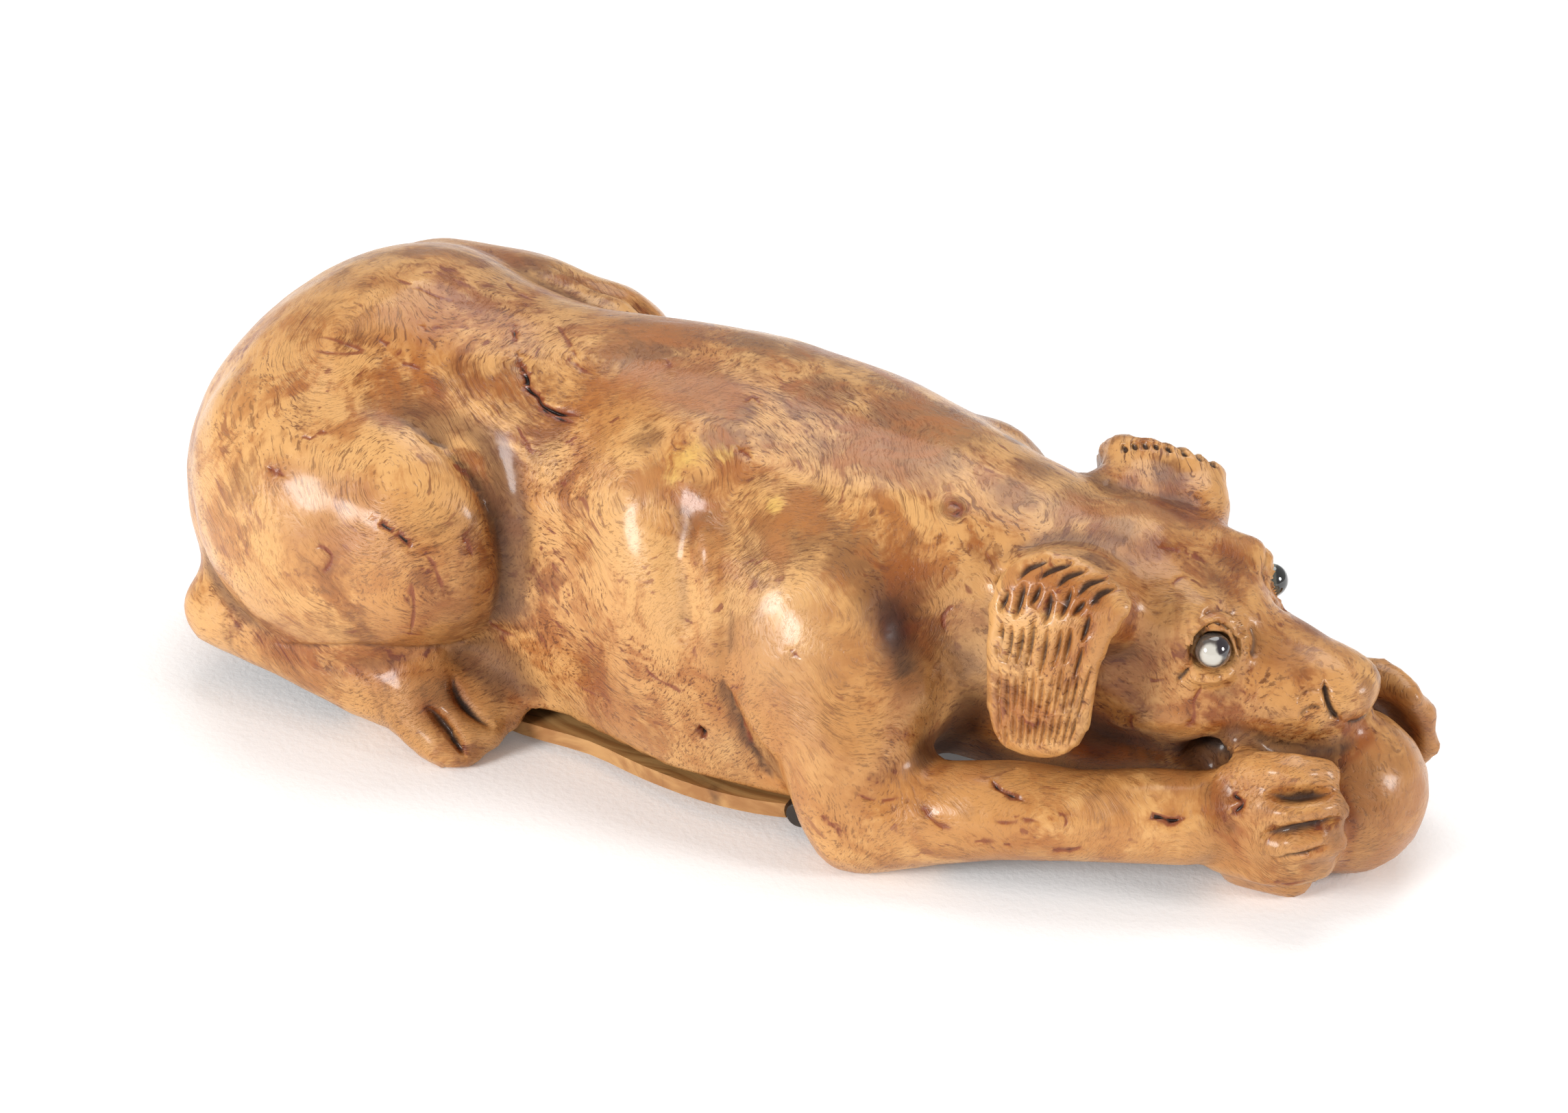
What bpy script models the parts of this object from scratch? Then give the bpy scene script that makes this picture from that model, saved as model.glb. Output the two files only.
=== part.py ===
"""Snuff box of burr wood, carved as a lying dog that holds a ball under its chin.

The dog faces +X, its left side is +Y, up is +Z and it lies on the table plane Z = 0.
The carved form is laid out in parts: the dog is FORM_LENGTH_PARTS of them long.
The box fittings (walls, rim, lid, hinge, eyes) follow named sizes in metres.
"""
import math

import bmesh
import bpy
from mathutils import Euler, Matrix, Vector

# Sizes of the whole dog, metres
DOG_LENGTH = 0.125
FORM_LENGTH_PARTS = 132.0
PART = DOG_LENGTH / FORM_LENGTH_PARTS

# Box fittings, metres
CLEARANCE = 0.0003
PIN_CLEARANCE = 0.0001
RIM_HEIGHT = 0.0036
RIM_WIDTH = 0.0026
CAVITY_DEPTH = 0.0215
LID_THICKNESS = 0.0015
LID_AJAR_DEG = 1.9
HINGE_RADIUS = 0.00125
HINGE_OVERHANG = 0.00068
HINGE_END_LENGTH = 0.0050
PIN_RADIUS = 0.0005
EYE_RADIUS = 0.0016
EYE_SEGMENTS = 16
EYE_RINGS = 8
# How far a cutter runs past what it cuts
OVERRUN = 0.004

# Fineness of the carving, in parts
ROUGH_VOXEL = 0.9
FINE_VOXEL = 0.6
ROUGH_PASSES = 8
FINE_PASSES = 3
DOG_TRIANGLES = 4150
# Points of the cut dog closer than this become one, metres
WELD_DISTANCE = 0.00002

# Trunk stations in parts: x, middle height, height above it, depth below it, half width, lowest
TRUNK = (
    (-73.6, 17.5, 2.0, 2.0, 2.0, 3.4),
    (-72.4, 17.8, 7.5, 7.0, 8.5, 3.4),
    (-69.5, 18.0, 12.8, 12.0, 13.5, 3.4),
    (-64.5, 18.6, 17.8, 16.0, 17.8, 3.4),
    (-58.0, 19.2, 21.5, 19.5, 20.4, 3.4),
    (-50.0, 19.2, 23.3, 20.0, 21.0, 3.4),
    (-42.0, 19.0, 22.0, 20.0, 17.6, 3.4),
    (-34.0, 19.0, 20.9, 20.5, 16.0, 2.6),
    (-25.0, 19.0, 21.1, 23.5, 17.8, 0.8),
    (-15.0, 19.0, 20.6, 25.5, 20.9, 0.8),
    (-6.0, 19.0, 19.2, 31.5, 20.6, 0.8),
    (2.0, 19.5, 17.4, 34.0, 19.2, 1.6),
    (9.0, 20.6, 15.2, 19.0, 15.5, 3.4),
    (16.0, 21.6, 12.4, 12.5, 12.6, 6.0),
    (23.0, 21.6, 10.8, 10.8, 11.0, 6.0),
)
TRUNK_SQUARENESS = 2.3

# Haunch masses in parts, softened together on each side
HAUNCH_MASSES = (
    ((-49.8, 13.3, 20.6), (17.4, 12.4, 15.2), (0, 0, 0)),
    ((-41.6, 14.3, 21.8), (11.0, 11.3, 12.0), (0, 12, 0)),
    ((-56.0, 11.0, 23.0), (12.5, 12.0, 13.8), (0, 0, 0)),
)
LEFT_HAUNCH_SHIFT = (3.0, 0.6, 2.2)
HAUNCH_PASSES = 12

# Soft masses in parts, built on both sides: centre, radii, turn about X Y Z in degrees
SOFT_MASSES = (
    ((2.6, 12.8, 17.6), (12.6, 9.8, 12.2), (0, 0, 0)),
    ((-42.0, 17.4, 5.6), (7.5, 4.8, 5.6), (0, 8, 0)),
    ((-30.5, 10.4, 8.4), (10.5, 5.2, 7.6), (0, 0, 0)),
)
# Limbs in parts, built on both sides: x, y, z, radius along a line
SOFT_LIMBS = (
    ((4.6, 15.0, 16.0, 8.2), (6.2, 17.2, 11.6, 7.4), (7.6, 19.2, 5.8, 5.9)),
    ((8.2, 19.8, 4.2, 5.2), (20.0, 17.2, 7.4, 5.0), (30.0, 14.4, 8.0, 4.7), (38.5, 11.6, 8.4, 4.8)),
    ((-65.0, 15.4, 7.6, 4.4), (-56.0, 16.8, 7.0, 4.4), (-46.0, 17.6, 5.8, 5.0)),
)
# The left shoulder stands higher than the right one
LEFT_SHOULDER = ((6.6, 13.4, 23.2), (9.0, 6.0, 8.4))
# The wood left standing under the head, from the breast to the ball, behind a groove beside each forearm
THROAT = ((14.0, 0.0, 13.6, 10.6), (20.0, 0.0, 13.0, 10.2), (28.0, 0.0, 11.6, 8.0), (35.0, 0.0, 10.8, 5.8), (42.0, 0.0, 10.0, 5.0))
# Head masses in parts, on the middle line
HEAD_MASSES = (
    ((26.5, 0.0, 21.8), (11.5, 10.8, 11.2), (0, 0, 0)),
    ((33.5, 0.0, 21.0), (9.2, 9.2, 8.4), (0, 10, 0)),
    ((31.0, 4.6, 25.9), (8.6, 5.4, 5.4), (0, 10, 0)),
    ((31.0, -4.6, 25.9), (8.6, 5.4, 5.4), (0, 10, 0)),
    ((31.5, 0.0, 17.0), (14.0, 9.8, 6.0), (0, 0, 0)),
    ((42.0, 0.0, 18.2), (9.0, 7.2, 6.0), (0, 14, 0)),
)
# Crisp masses in parts, built on both sides
CRISP_MASSES = (
    ((25.2, 9.4, 27.8), (7.0, 5.0, 4.8), (0, 0, 0)),
    ((36.6, 6.2, 26.4), (3.4, 2.7, 2.9), (0, 20, 0)),
)
NOSE_MASSES = (
    ((46.8, 0.0, 18.3), (5.2, 5.4, 4.6), (0, 14, 0)),
    ((50.2, 0.0, 19.3), (2.6, 3.2, 2.7), (0, 10, 0)),
)
# Right forepaw in parts; the left one lies further on and a little higher
FORE_PAW = ((43.2, -8.6, 8.2), (5.4, 3.6, 6.8))
FORE_TOES = (
    ((42.0, -9.4, 13.4, 2.0), (47.6, -10.2, 15.2, 1.9), (51.0, -8.6, 15.0, 1.5)),
    ((42.4, -11.0, 10.6, 2.2), (48.8, -11.9, 12.0, 2.0), (52.4, -10.0, 12.2, 1.6)),
    ((42.4, -11.4, 7.4, 2.2), (48.8, -12.2, 8.6, 2.0), (52.6, -10.4, 8.9, 1.6)),
    ((41.6, -10.4, 5.0, 2.4), (47.6, -11.4, 5.2, 2.1), (51.4, -9.6, 5.6, 1.6)),
    ((43.0, -8.0, 2.4, 2.6), (47.6, -7.6, 2.1, 2.5)),
)
LEFT_PAW_SHIFT = (2.4, 0.0, -0.7)
LEFT_EAR_SHIFT = -0.9
HIND_TOES = (
    ((-43.5, 19.4, 4.8, 2.4), (-36.8, 21.2, 2.0, 2.4), (-34.2, 20.8, 1.3, 1.9)),
    ((-42.0, 18.6, 6.0, 2.6), (-35.6, 19.0, 4.4, 2.4), (-32.8, 18.5, 2.8, 2.0)),
    ((-40.0, 16.2, 7.0, 2.6), (-34.6, 16.0, 5.6, 2.4), (-31.8, 15.8, 3.8, 2.0)),
    ((-39.5, 14.0, 6.0, 2.4), (-34.8, 13.6, 4.6, 2.2), (-32.4, 13.6, 3.5, 1.8)),
)
# Carved furrows in parts: x, y, z, radius along a line on the right side
HAUNCH_FURROW = (
    (-45.5, -15.4, 34.9, 0.2),
    (-41.3, -15.4, 33.9, 0.6),
    (-37.4, -16.0, 32.3, 0.9),
    (-34.1, -16.9, 30.2, 1.1),
    (-31.6, -17.2, 27.4, 1.2),
    (-30.3, -17.4, 24.0, 1.2),
    (-30.2, -17.5, 20.2, 1.2),
    (-31.2, -17.7, 16.7, 1.1),
    (-33.4, -18.8, 13.6, 1.0),
    (-37.4, -21.4, 12.6, 0.8),
    (-43.0, -22.6, 12.4, 0.5),
    (-49.0, -22.6, 12.2, 0.2),
)
FORE_CLEFTS = (
    ((44.6, -12.2, 13.4, 0.3), (48.4, -12.6, 13.8, 0.8), (52.6, -10.0, 13.8, 0.7)),
    ((44.2, -13.4, 9.6, 0.3), (48.6, -14.0, 10.4, 0.9), (53.2, -11.0, 10.6, 0.8)),
    ((44.6, -13.6, 6.2, 0.3), (48.6, -13.8, 6.9, 0.9), (53.0, -11.0, 7.3, 0.8)),
)
HIND_CLEFTS = (
    ((-40.5, -21.6, 5.8, 0.3), (-36.2, -21.6, 4.4, 0.9), (-31.6, -20.8, 1.2, 0.9)),
    ((-38.6, -18.0, 8.2, 0.3), (-34.4, -17.7, 6.4, 0.9), (-29.8, -17.6, 2.6, 0.9)),
)
# Side of a furrow on which its first point lies
FURROW_START = (0.3, 0.0, 1.0)
EAR_FLUTES = 6
FLUTE_RADIUS = 0.42
LEFT_FOLD = ((31.2, 10.6, 28.4), (2.4, 3.0, 3.8))
# Ear stations in parts: height, rear x, front x, middle y, thickness
EAR = (
    (34.0, 23.4, 26.0, 11.8, 1.4),
    (33.5, 21.4, 28.6, 12.2, 2.8),
    (32.5, 20.2, 31.6, 12.9, 3.5),
    (31.2, 19.2, 33.2, 13.8, 3.7),
    (29.0, 18.8, 32.2, 14.8, 3.6),
    (26.0, 18.8, 31.0, 15.6, 3.5),
    (23.0, 19.0, 30.6, 16.0, 3.5),
    (20.0, 19.4, 30.4, 16.3, 3.4),
    (17.5, 19.9, 29.8, 16.5, 3.3),
    (15.6, 20.6, 28.6, 16.5, 3.0),
    (14.2, 22.0, 26.8, 16.4, 1.6),
)
# Tail in parts, tucked under the rump from the middle of its rear
TAIL = (
    (-71.6, 0.0, 17.5, 2.4),
    (-72.2, 1.8, 12.0, 2.2),
    (-69.5, 5.5, 7.0, 2.0),
    (-64.5, 8.5, 4.8, 1.7),
    (-58.5, 9.5, 4.4, 1.2),
)
# Lid outline in parts: x, half width, from the hinge to the rear
LID_OUTLINE = (
    (1.5, 18.4),
    (-3.0, 19.2),
    (-9.0, 19.1),
    (-16.0, 17.7),
    (-23.0, 15.6),
    (-31.0, 14.8),
    (-37.5, 13.0),
    (-43.0, 10.4),
    (-47.4, 7.2),
    (-50.0, 3.6),
    (-50.8, 0.0),
)
# Hollow of the box: share of its depth, share of its plan
CAVITY_PROFILE = (
    (0.0, 1.0),
    (0.3, 1.0),
    (0.55, 0.96),
    (0.75, 0.86),
    (0.9, 0.68),
    (1.0, 0.42),
)
# Eyes in parts: middle, the way they look, and the ring of the lids round them
EYE_CENTRE = (38.8, 7.9, 24.8)
LEFT_EYE_SHIFT = (0.1, 0.0, -0.8)
EYE_LOOK = (0.45, 0.82, 0.35)
LID_HALF_WIDTH = 2.9
LID_HALF_HEIGHT = 2.7
LID_RADIUS = 0.6
LID_STAND = -0.8
EAR_SQUARENESS = 0.75
BALL_CENTRE = (50.0, 0.0, 7.9)
BALL_RADIUS = 8.2


def unit_ball(rings):
    """Sphere of one part radius, the seed of every blob."""
    bm = bmesh.new()
    bmesh.ops.create_uvsphere(bm, u_segments=rings * 2, v_segments=rings, radius=PART)
    mesh = bpy.data.meshes.new("seed")
    bm.to_mesh(mesh)
    bm.free()
    return mesh


def blob(bm, seed, centre, radii, turn=(0, 0, 0)):
    """Ellipsoid with its middle at centre, sizes in parts."""
    mesh = seed.copy()
    mesh.transform(
        Matrix.Translation(Vector(centre) * PART)
        @ Euler([math.radians(a) for a in turn]).to_matrix().to_4x4()
        @ Matrix.Diagonal(Vector((radii[0], radii[1], radii[2], 1.0)))
    )
    bm.from_mesh(mesh)
    bpy.data.meshes.remove(mesh)


def catmull(p0, p1, p2, p3, t):
    """Value on a smooth curve between p1 and p2."""
    return 0.5 * (
        2.0 * p1
        + (p2 - p0) * t
        + (2.0 * p0 - 5.0 * p1 + 4.0 * p2 - p3) * t * t
        + (3.0 * p1 - p0 - 3.0 * p2 + p3) * t ** 3
    )


def smooth_line(knots, steps):
    """Knots joined by a smooth curve, with steps points to each span."""
    line = []
    last = len(knots) - 1
    for i in range(last):
        around = (knots[max(i - 1, 0)], knots[i], knots[i + 1], knots[min(i + 2, last)])
        for k in range(steps):
            line.append(tuple(catmull(*values, k / steps) for values in zip(*around)))
    line.append(tuple(knots[last]))
    return line


def limb(bm, seed, knots, spacing=0.3):
    """Round limb through knots of x, y, z, radius in parts."""
    longest = max((Vector(b[:3]) - Vector(a[:3])).length for a, b in zip(knots, knots[1:]))
    thinnest = min(k[3] for k in knots)
    steps = max(2, math.ceil(longest / (spacing * thinnest)))
    for x, y, z, radius in smooth_line(knots, steps):
        blob(bm, seed, (x, y, z), (radius, radius, radius))


def skin_rings(bm, rings):
    """Closed skin over rings of equal count."""
    count = len(rings[0])
    for ring_a, ring_b in zip(rings, rings[1:]):
        for j in range(count):
            k = (j + 1) % count
            bm.faces.new((ring_a[j], ring_a[k], ring_b[k], ring_b[j]))
    bm.faces.new(list(reversed(rings[0])))
    bm.faces.new(rings[-1])


def trunk(bm, count=48, steps=4):
    """Barrel of the body through the trunk stations."""
    rings = []
    for x, middle, above, below, half, lowest in smooth_line(TRUNK, steps):
        ring = []
        for i in range(count):
            angle = 2.0 * math.pi * i / count
            c = math.cos(angle)
            s = math.sin(angle)
            side = math.copysign(abs(c) ** (2.0 / TRUNK_SQUARENESS), c)
            up = math.copysign(abs(s) ** (2.0 / TRUNK_SQUARENESS), s)
            height = above if up > 0 else below
            z = max(middle + height * up, lowest)
            ring.append(bm.verts.new(Vector((x, half * side, z)) * PART))
        rings.append(ring)
    skin_rings(bm, rings)


def mirrored(row, side):
    """The same row of x, y, z and the rest, on the given side."""
    return (row[0], row[1] * side) + tuple(row[2:])


def new_object(name, bm, collection):
    """Object made from the bmesh."""
    bmesh.ops.recalc_face_normals(bm, faces=bm.faces)
    mesh = bpy.data.meshes.new(name)
    bm.to_mesh(mesh)
    bm.free()
    obj = bpy.data.objects.new(name, mesh)
    collection.objects.link(obj)
    return obj


def settle(obj):
    """Replace the mesh by what its modifiers make of it."""
    depsgraph = bpy.context.evaluated_depsgraph_get()
    depsgraph.update()
    mesh = bpy.data.meshes.new_from_object(obj.evaluated_get(depsgraph))
    obj.modifiers.clear()
    obj.data = mesh


def fuse(obj, voxel, passes, factor=0.5):
    """Grow overlapping shapes into one skin and soften it."""
    remesh = obj.modifiers.new("fuse", "REMESH")
    remesh.mode = "VOXEL"
    remesh.voxel_size = voxel * PART
    remesh.adaptivity = 0.0
    soften = obj.modifiers.new("soften", "SMOOTH")
    soften.factor = factor
    soften.iterations = passes
    settle(obj)


def rough_form(collection):
    """Trunk, shoulders, limbs and head in one soft skin."""
    bm = bmesh.new()
    round_seed = unit_ball(24)
    small_seed = unit_ball(10)
    trunk(bm)
    for side in (-1, 1):
        for centre, radii, turn in SOFT_MASSES:
            blob(bm, round_seed, mirrored(centre, side), radii, (turn[0] * side, turn[1], turn[2] * side))
        for knots in SOFT_LIMBS:
            limb(bm, small_seed, [mirrored(k, side) for k in knots])
    for centre, radii, turn in HEAD_MASSES:
        blob(bm, round_seed, centre, radii, turn)
    limb(bm, small_seed, THROAT)
    blob(bm, round_seed, LEFT_SHOULDER[0], LEFT_SHOULDER[1])
    obj = new_object("dog_rough", bm, collection)
    fuse(obj, ROUGH_VOXEL, ROUGH_PASSES)
    return obj


def ear_point(station, angle, side):
    """Point on an ear section, in parts; a quarter turn is the middle of its outer face."""
    z, rear, front, y, thickness = station
    c = math.cos(angle)
    s = math.sin(angle)
    along = math.copysign(abs(c) ** EAR_SQUARENESS, c) * (front - rear) / 2.0
    across = math.copysign(abs(s) ** EAR_SQUARENESS, s) * thickness / 2.0
    shift = LEFT_EAR_SHIFT if side > 0 else 0.0
    return Vector(((front + rear) / 2.0 + along + shift, (y + across) * side, z))


def ear(bm, side, count=28):
    """Hanging ear: flat oval sections one under the other."""
    rings = []
    for station in smooth_line(EAR, 3):
        angles = (2.0 * math.pi * i / count for i in range(count))
        rings.append([bm.verts.new(ear_point(station, angle, side) * PART) for angle in angles])
    skin_rings(bm, rings)


def furrow(bm, knots, sides=5, steps=1):
    """Slender cutter through knots of x, y, z, radius in parts."""
    line = smooth_line(knots, steps)
    last = len(line) - 1
    across = Vector(FURROW_START)
    rings = []
    for i, (x, y, z, radius) in enumerate(line):
        ahead = (Vector(line[min(i + 1, last)][:3]) - Vector(line[max(i - 1, 0)][:3])).normalized()
        across = (across - ahead * across.dot(ahead)).normalized()
        up = ahead.cross(across)
        ring = []
        for k in range(sides):
            angle = 2.0 * math.pi * k / sides
            off = (across * math.cos(angle) + up * math.sin(angle)) * radius
            ring.append(bm.verts.new((Vector((x, y, z)) + off) * PART))
        rings.append(ring)
    skin_rings(bm, rings)


def furrows(side):
    """Every furrow cut into one side of the dog."""
    bm = bmesh.new()
    hip = LEFT_HAUNCH_SHIFT if side > 0 else (0.0, 0.0, 0.0)
    paw = LEFT_PAW_SHIFT if side > 0 else (0.0, 0.0, 0.0)
    furrow(bm, [shifted(mirrored(k, -side), hip) for k in HAUNCH_FURROW])
    for knots in HIND_CLEFTS:
        furrow(bm, [mirrored(k, -side) for k in knots], steps=2)
    for knots in FORE_CLEFTS:
        furrow(bm, [shifted(mirrored(k, -side), paw) for k in knots], steps=2)
    for i in range(EAR_FLUTES):
        angle = math.pi * (i + 1) / (EAR_FLUTES + 1)
        knots = []
        for station in EAR[2:-1]:
            knots.append((*ear_point(station, angle, side), FLUTE_RADIUS))
        knots[0] = knots[0][:3] + (FLUTE_RADIUS / 3.0,)
        knots[-1] = knots[-1][:3] + (FLUTE_RADIUS / 3.0,)
        furrow(bm, knots, sides=4)
    return bm


def eye_middle(side):
    """Middle of an eye, in parts."""
    middle = Vector(mirrored(EYE_CENTRE, side))
    return middle + Vector(LEFT_EYE_SHIFT) if side > 0 else middle


def eyelid(side, count=16):
    """Knots of the raised rim round one eye."""
    look = Vector(mirrored(EYE_LOOK, side)).normalized()
    across = Vector((0, 0, 1)).cross(look).normalized()
    up = look.cross(across)
    middle = eye_middle(side) + look * LID_STAND
    knots = []
    for i in range(count + 1):
        angle = 2.0 * math.pi * i / count
        point = middle + across * LID_HALF_WIDTH * math.cos(angle) + up * LID_HALF_HEIGHT * math.sin(angle)
        knots.append((*point, LID_RADIUS))
    return knots


def shifted(row, shift):
    """Row of x, y, z and the rest, moved."""
    return (row[0] + shift[0], row[1] + shift[1], row[2] + shift[2]) + tuple(row[3:])


def haunches(collection):
    """Both haunches, each one smooth egg."""
    bm = bmesh.new()
    seed = unit_ball(24)
    for side in (-1, 1):
        for centre, radii, turn in HAUNCH_MASSES:
            place = mirrored(centre, side)
            if side > 0:
                place = shifted(place, LEFT_HAUNCH_SHIFT)
            blob(bm, seed, place, radii, turn)
    obj = new_object("haunches", bm, collection)
    fuse(obj, ROUGH_VOXEL, HAUNCH_PASSES)
    return obj


def crisp_form(rough, hips, collection):
    """Haunches, ears, paws, nose and ball on the soft form, with sharper folds."""
    bm = bmesh.new()
    bm.from_mesh(rough.data)
    bm.from_mesh(hips.data)
    round_seed = unit_ball(32)
    small_seed = unit_ball(10)
    for side in (-1, 1):
        for centre, radii, turn in CRISP_MASSES:
            blob(bm, round_seed, mirrored(centre, side), radii, (turn[0] * side, turn[1], turn[2] * side))
        for knots in HIND_TOES:
            limb(bm, small_seed, [mirrored(k, side) for k in knots])
        ear(bm, side)
        if side < 0:
            limb(bm, small_seed, eyelid(side))
    limb(bm, small_seed, TAIL)
    for knots in FORE_TOES:
        limb(bm, small_seed, knots)
        limb(bm, small_seed, [shifted(mirrored(k, -1), LEFT_PAW_SHIFT) for k in knots])
    blob(bm, round_seed, FORE_PAW[0], FORE_PAW[1])
    blob(bm, round_seed, shifted(mirrored(FORE_PAW[0], -1), LEFT_PAW_SHIFT), FORE_PAW[1])
    for centre, radii, turn in NOSE_MASSES:
        blob(bm, round_seed, centre, radii, turn)
    blob(bm, round_seed, LEFT_FOLD[0], LEFT_FOLD[1])
    blob(bm, round_seed, BALL_CENTRE, (BALL_RADIUS,) * 3)
    obj = new_object("dog", bm, collection)
    bpy.data.objects.remove(rough, do_unlink=True)
    bpy.data.objects.remove(hips, do_unlink=True)
    fuse(obj, FINE_VOXEL, FINE_PASSES)
    return obj


def inset_plan(front, inset, steps=3):
    """Lid outline behind the x named front, drawn in by inset, as points in metres."""
    line = [Vector(p) * PART for p in smooth_line(LID_OUTLINE, steps)]
    width = line[0].y
    for a, b in zip(line, line[1:]):
        if b.x <= front <= a.x:
            width = a.y + (b.y - a.y) * (front - a.x) / (b.x - a.x)
    half = [Vector((front, width))] + [p for p in line if p.x < front - PART / 4.0]
    last = len(half) - 1
    drawn = [Vector((front, width - inset))]
    for i in range(1, last):
        along = half[i + 1] - half[i - 1]
        drawn.append(half[i] - Vector((along.y, -along.x)).normalized() * inset)
    drawn.append(Vector((half[last].x + inset, 0.0)))
    return drawn + [Vector((p.x, -p.y)) for p in reversed(drawn[:-1])]


def prism(name, plan, low, high, collection):
    """Upright prism over a plan."""
    bm = bmesh.new()
    face = bm.faces.new([bm.verts.new((x, y, low)) for x, y in plan])
    grown = bmesh.ops.extrude_face_region(bm, geom=[face])
    moved = [v for v in grown["geom"] if isinstance(v, bmesh.types.BMVert)]
    bmesh.ops.translate(bm, verts=moved, vec=(0, 0, high - low))
    return new_object(name, bm, collection)


def rod(name, radius, length, centre, collection, segments=24):
    """Round rod along Y."""
    bm = bmesh.new()
    matrix = Matrix.Translation(centre) @ Matrix.Rotation(math.radians(90), 4, "X")
    bmesh.ops.create_cone(bm, cap_ends=True, segments=segments, radius1=radius, radius2=radius,
                          depth=length, matrix=matrix)
    return new_object(name, bm, collection)


def cavity(collection):
    """Rounded hollow over the lid, open downwards."""
    front = LID_OUTLINE[0][0] * PART - HINGE_RADIUS - CLEARANCE - RIM_WIDTH
    plan = inset_plan(front, RIM_WIDTH)
    middle = Vector((sum(p.x for p in plan) / len(plan), 0.0))
    bm = bmesh.new()
    rings = []
    levels = [(-OVERRUN / CAVITY_DEPTH, 1.0)] + smooth_line(CAVITY_PROFILE, 2)
    for share, size in levels:
        z = RIM_HEIGHT + share * CAVITY_DEPTH
        ring = []
        for p in plan:
            q = middle + (p - middle) * size
            ring.append(bm.verts.new((q.x, q.y, z)))
        rings.append(ring)
    skin_rings(bm, rings)
    return new_object("cut_cavity", bm, collection)


def cut(obj, tool, operation="DIFFERENCE"):
    """Boolean between the object and a cutter."""
    modifier = obj.modifiers.new(tool.name, "BOOLEAN")
    modifier.operation = operation
    modifier.solver = "EXACT"
    modifier.object = tool


def material(name, colour, roughness, transmission=0.0):
    """Plain material."""
    made = bpy.data.materials.new(name)
    made.use_nodes = True
    shader = made.node_tree.nodes["Principled BSDF"]
    shader.inputs["Base Color"].default_value = (*colour, 1.0)
    shader.inputs["Roughness"].default_value = roughness
    shader.inputs["Transmission Weight"].default_value = transmission
    return made


def main():
    for obj in list(bpy.data.objects):
        bpy.data.objects.remove(obj, do_unlink=True)
    collection = bpy.data.collections.new("snuff_box")
    cutters = bpy.data.collections.new("cutters")
    for made in (collection, cutters):
        bpy.context.scene.collection.children.link(made)
    burr = material("burr_wood", (0.42, 0.22, 0.09), 0.35)
    horn = material("dark_horn", (0.03, 0.02, 0.015), 0.3)
    glass = material("eye_glass", (0.75, 0.75, 0.72), 0.1)

    dog = crisp_form(rough_form(collection), haunches(collection), collection)
    thin = dog.modifiers.new("facets", "DECIMATE")
    thin.ratio = DOG_TRIANGLES / sum(len(p.vertices) - 2 for p in dog.data.polygons)
    settle(dog)

    axis_height = RIM_HEIGHT - CLEARANCE - LID_THICKNESS / 2.0
    axis = Vector((LID_OUTLINE[0][0] * PART, 0.0, axis_height))
    reach = DOG_LENGTH
    seat = prism("cut_seat", inset_plan(axis.x, -CLEARANCE), -reach, RIM_HEIGHT, cutters)
    hollow = cavity(cutters)
    channel = rod("cut_channel", HINGE_RADIUS + CLEARANCE, reach / 2.0, axis, cutters)
    bm = bmesh.new()
    bmesh.ops.create_cube(bm, size=2.0 * reach, matrix=Matrix.Translation((0, 0, -reach)))
    table = new_object("cut_table", bm, cutters)
    tools = [seat, hollow, channel, table]
    for side in (-1, 1):
        bm = bmesh.new()
        centre = eye_middle(side) * PART
        bmesh.ops.create_uvsphere(bm, u_segments=EYE_SEGMENTS, v_segments=EYE_RINGS, radius=EYE_RADIUS + CLEARANCE,
                                  matrix=Matrix.Translation(centre))
        tools.append(new_object("cut_eye", bm, cutters))
        tools.append(new_object("cut_furrows", furrows(side), cutters))
        bm = bmesh.new()
        bmesh.ops.create_uvsphere(bm, u_segments=EYE_SEGMENTS, v_segments=EYE_RINGS, radius=EYE_RADIUS)
        eye = new_object("eye_right" if side < 0 else "eye_left", bm, collection)
        eye.location = centre
        eye.data.materials.append(glass)
        eye.data.shade_smooth()
    for tool in tools:
        cut(dog, tool)
    tidy = dog.modifiers.new("tidy", "WELD")
    tidy.merge_threshold = WELD_DISTANCE
    dog.data.materials.append(burr)

    hinge_length = 2.0 * (LID_OUTLINE[0][1] * PART + HINGE_OVERHANG)
    hinge = rod("hinge", PIN_RADIUS, hinge_length, axis, collection)
    lid = prism("lid", inset_plan(axis.x, 0.0), -LID_THICKNESS / 2.0, LID_THICKNESS / 2.0, collection)
    for side in (-1, 1):
        centre = axis + Vector((0, side * (hinge_length - HINGE_END_LENGTH) / 2.0, 0))
        cut(hinge, rod("end", HINGE_RADIUS, HINGE_END_LENGTH, centre, cutters), "UNION")
        cut(lid, rod("cut_end", HINGE_RADIUS + CLEARANCE, HINGE_END_LENGTH + 2.0 * CLEARANCE, centre, cutters))
    knuckle_length = hinge_length - 2.0 * (HINGE_END_LENGTH + CLEARANCE)
    cut(lid, rod("knuckle", HINGE_RADIUS, knuckle_length, axis, cutters), "UNION")
    cut(lid, rod("cut_bore", PIN_RADIUS + PIN_CLEARANCE, knuckle_length + OVERRUN, axis, cutters))
    hinge.data.materials.append(horn)
    lid.data.transform(Matrix.Translation((-axis.x, 0, 0)))
    lid.location = axis
    lid.rotation_euler = (0, -math.radians(LID_AJAR_DEG), 0)
    lid.data.materials.append(burr)

    xs = [v.co.x for v in dog.data.vertices]
    ys = [v.co.y for v in dog.data.vertices]
    shift = Vector((-(min(xs) + max(xs)) / 2.0, -(min(ys) + max(ys)) / 2.0, 0.0))
    for obj in bpy.data.objects:
        obj.location += shift
    for obj in cutters.objects:
        obj.hide_render = True
        obj.display_type = "WIRE"


main()
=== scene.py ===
# Burr wood snuff box carved as a lying dog: the carved surface, the wood, the glass eyes and the light.
import math
import random

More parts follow.
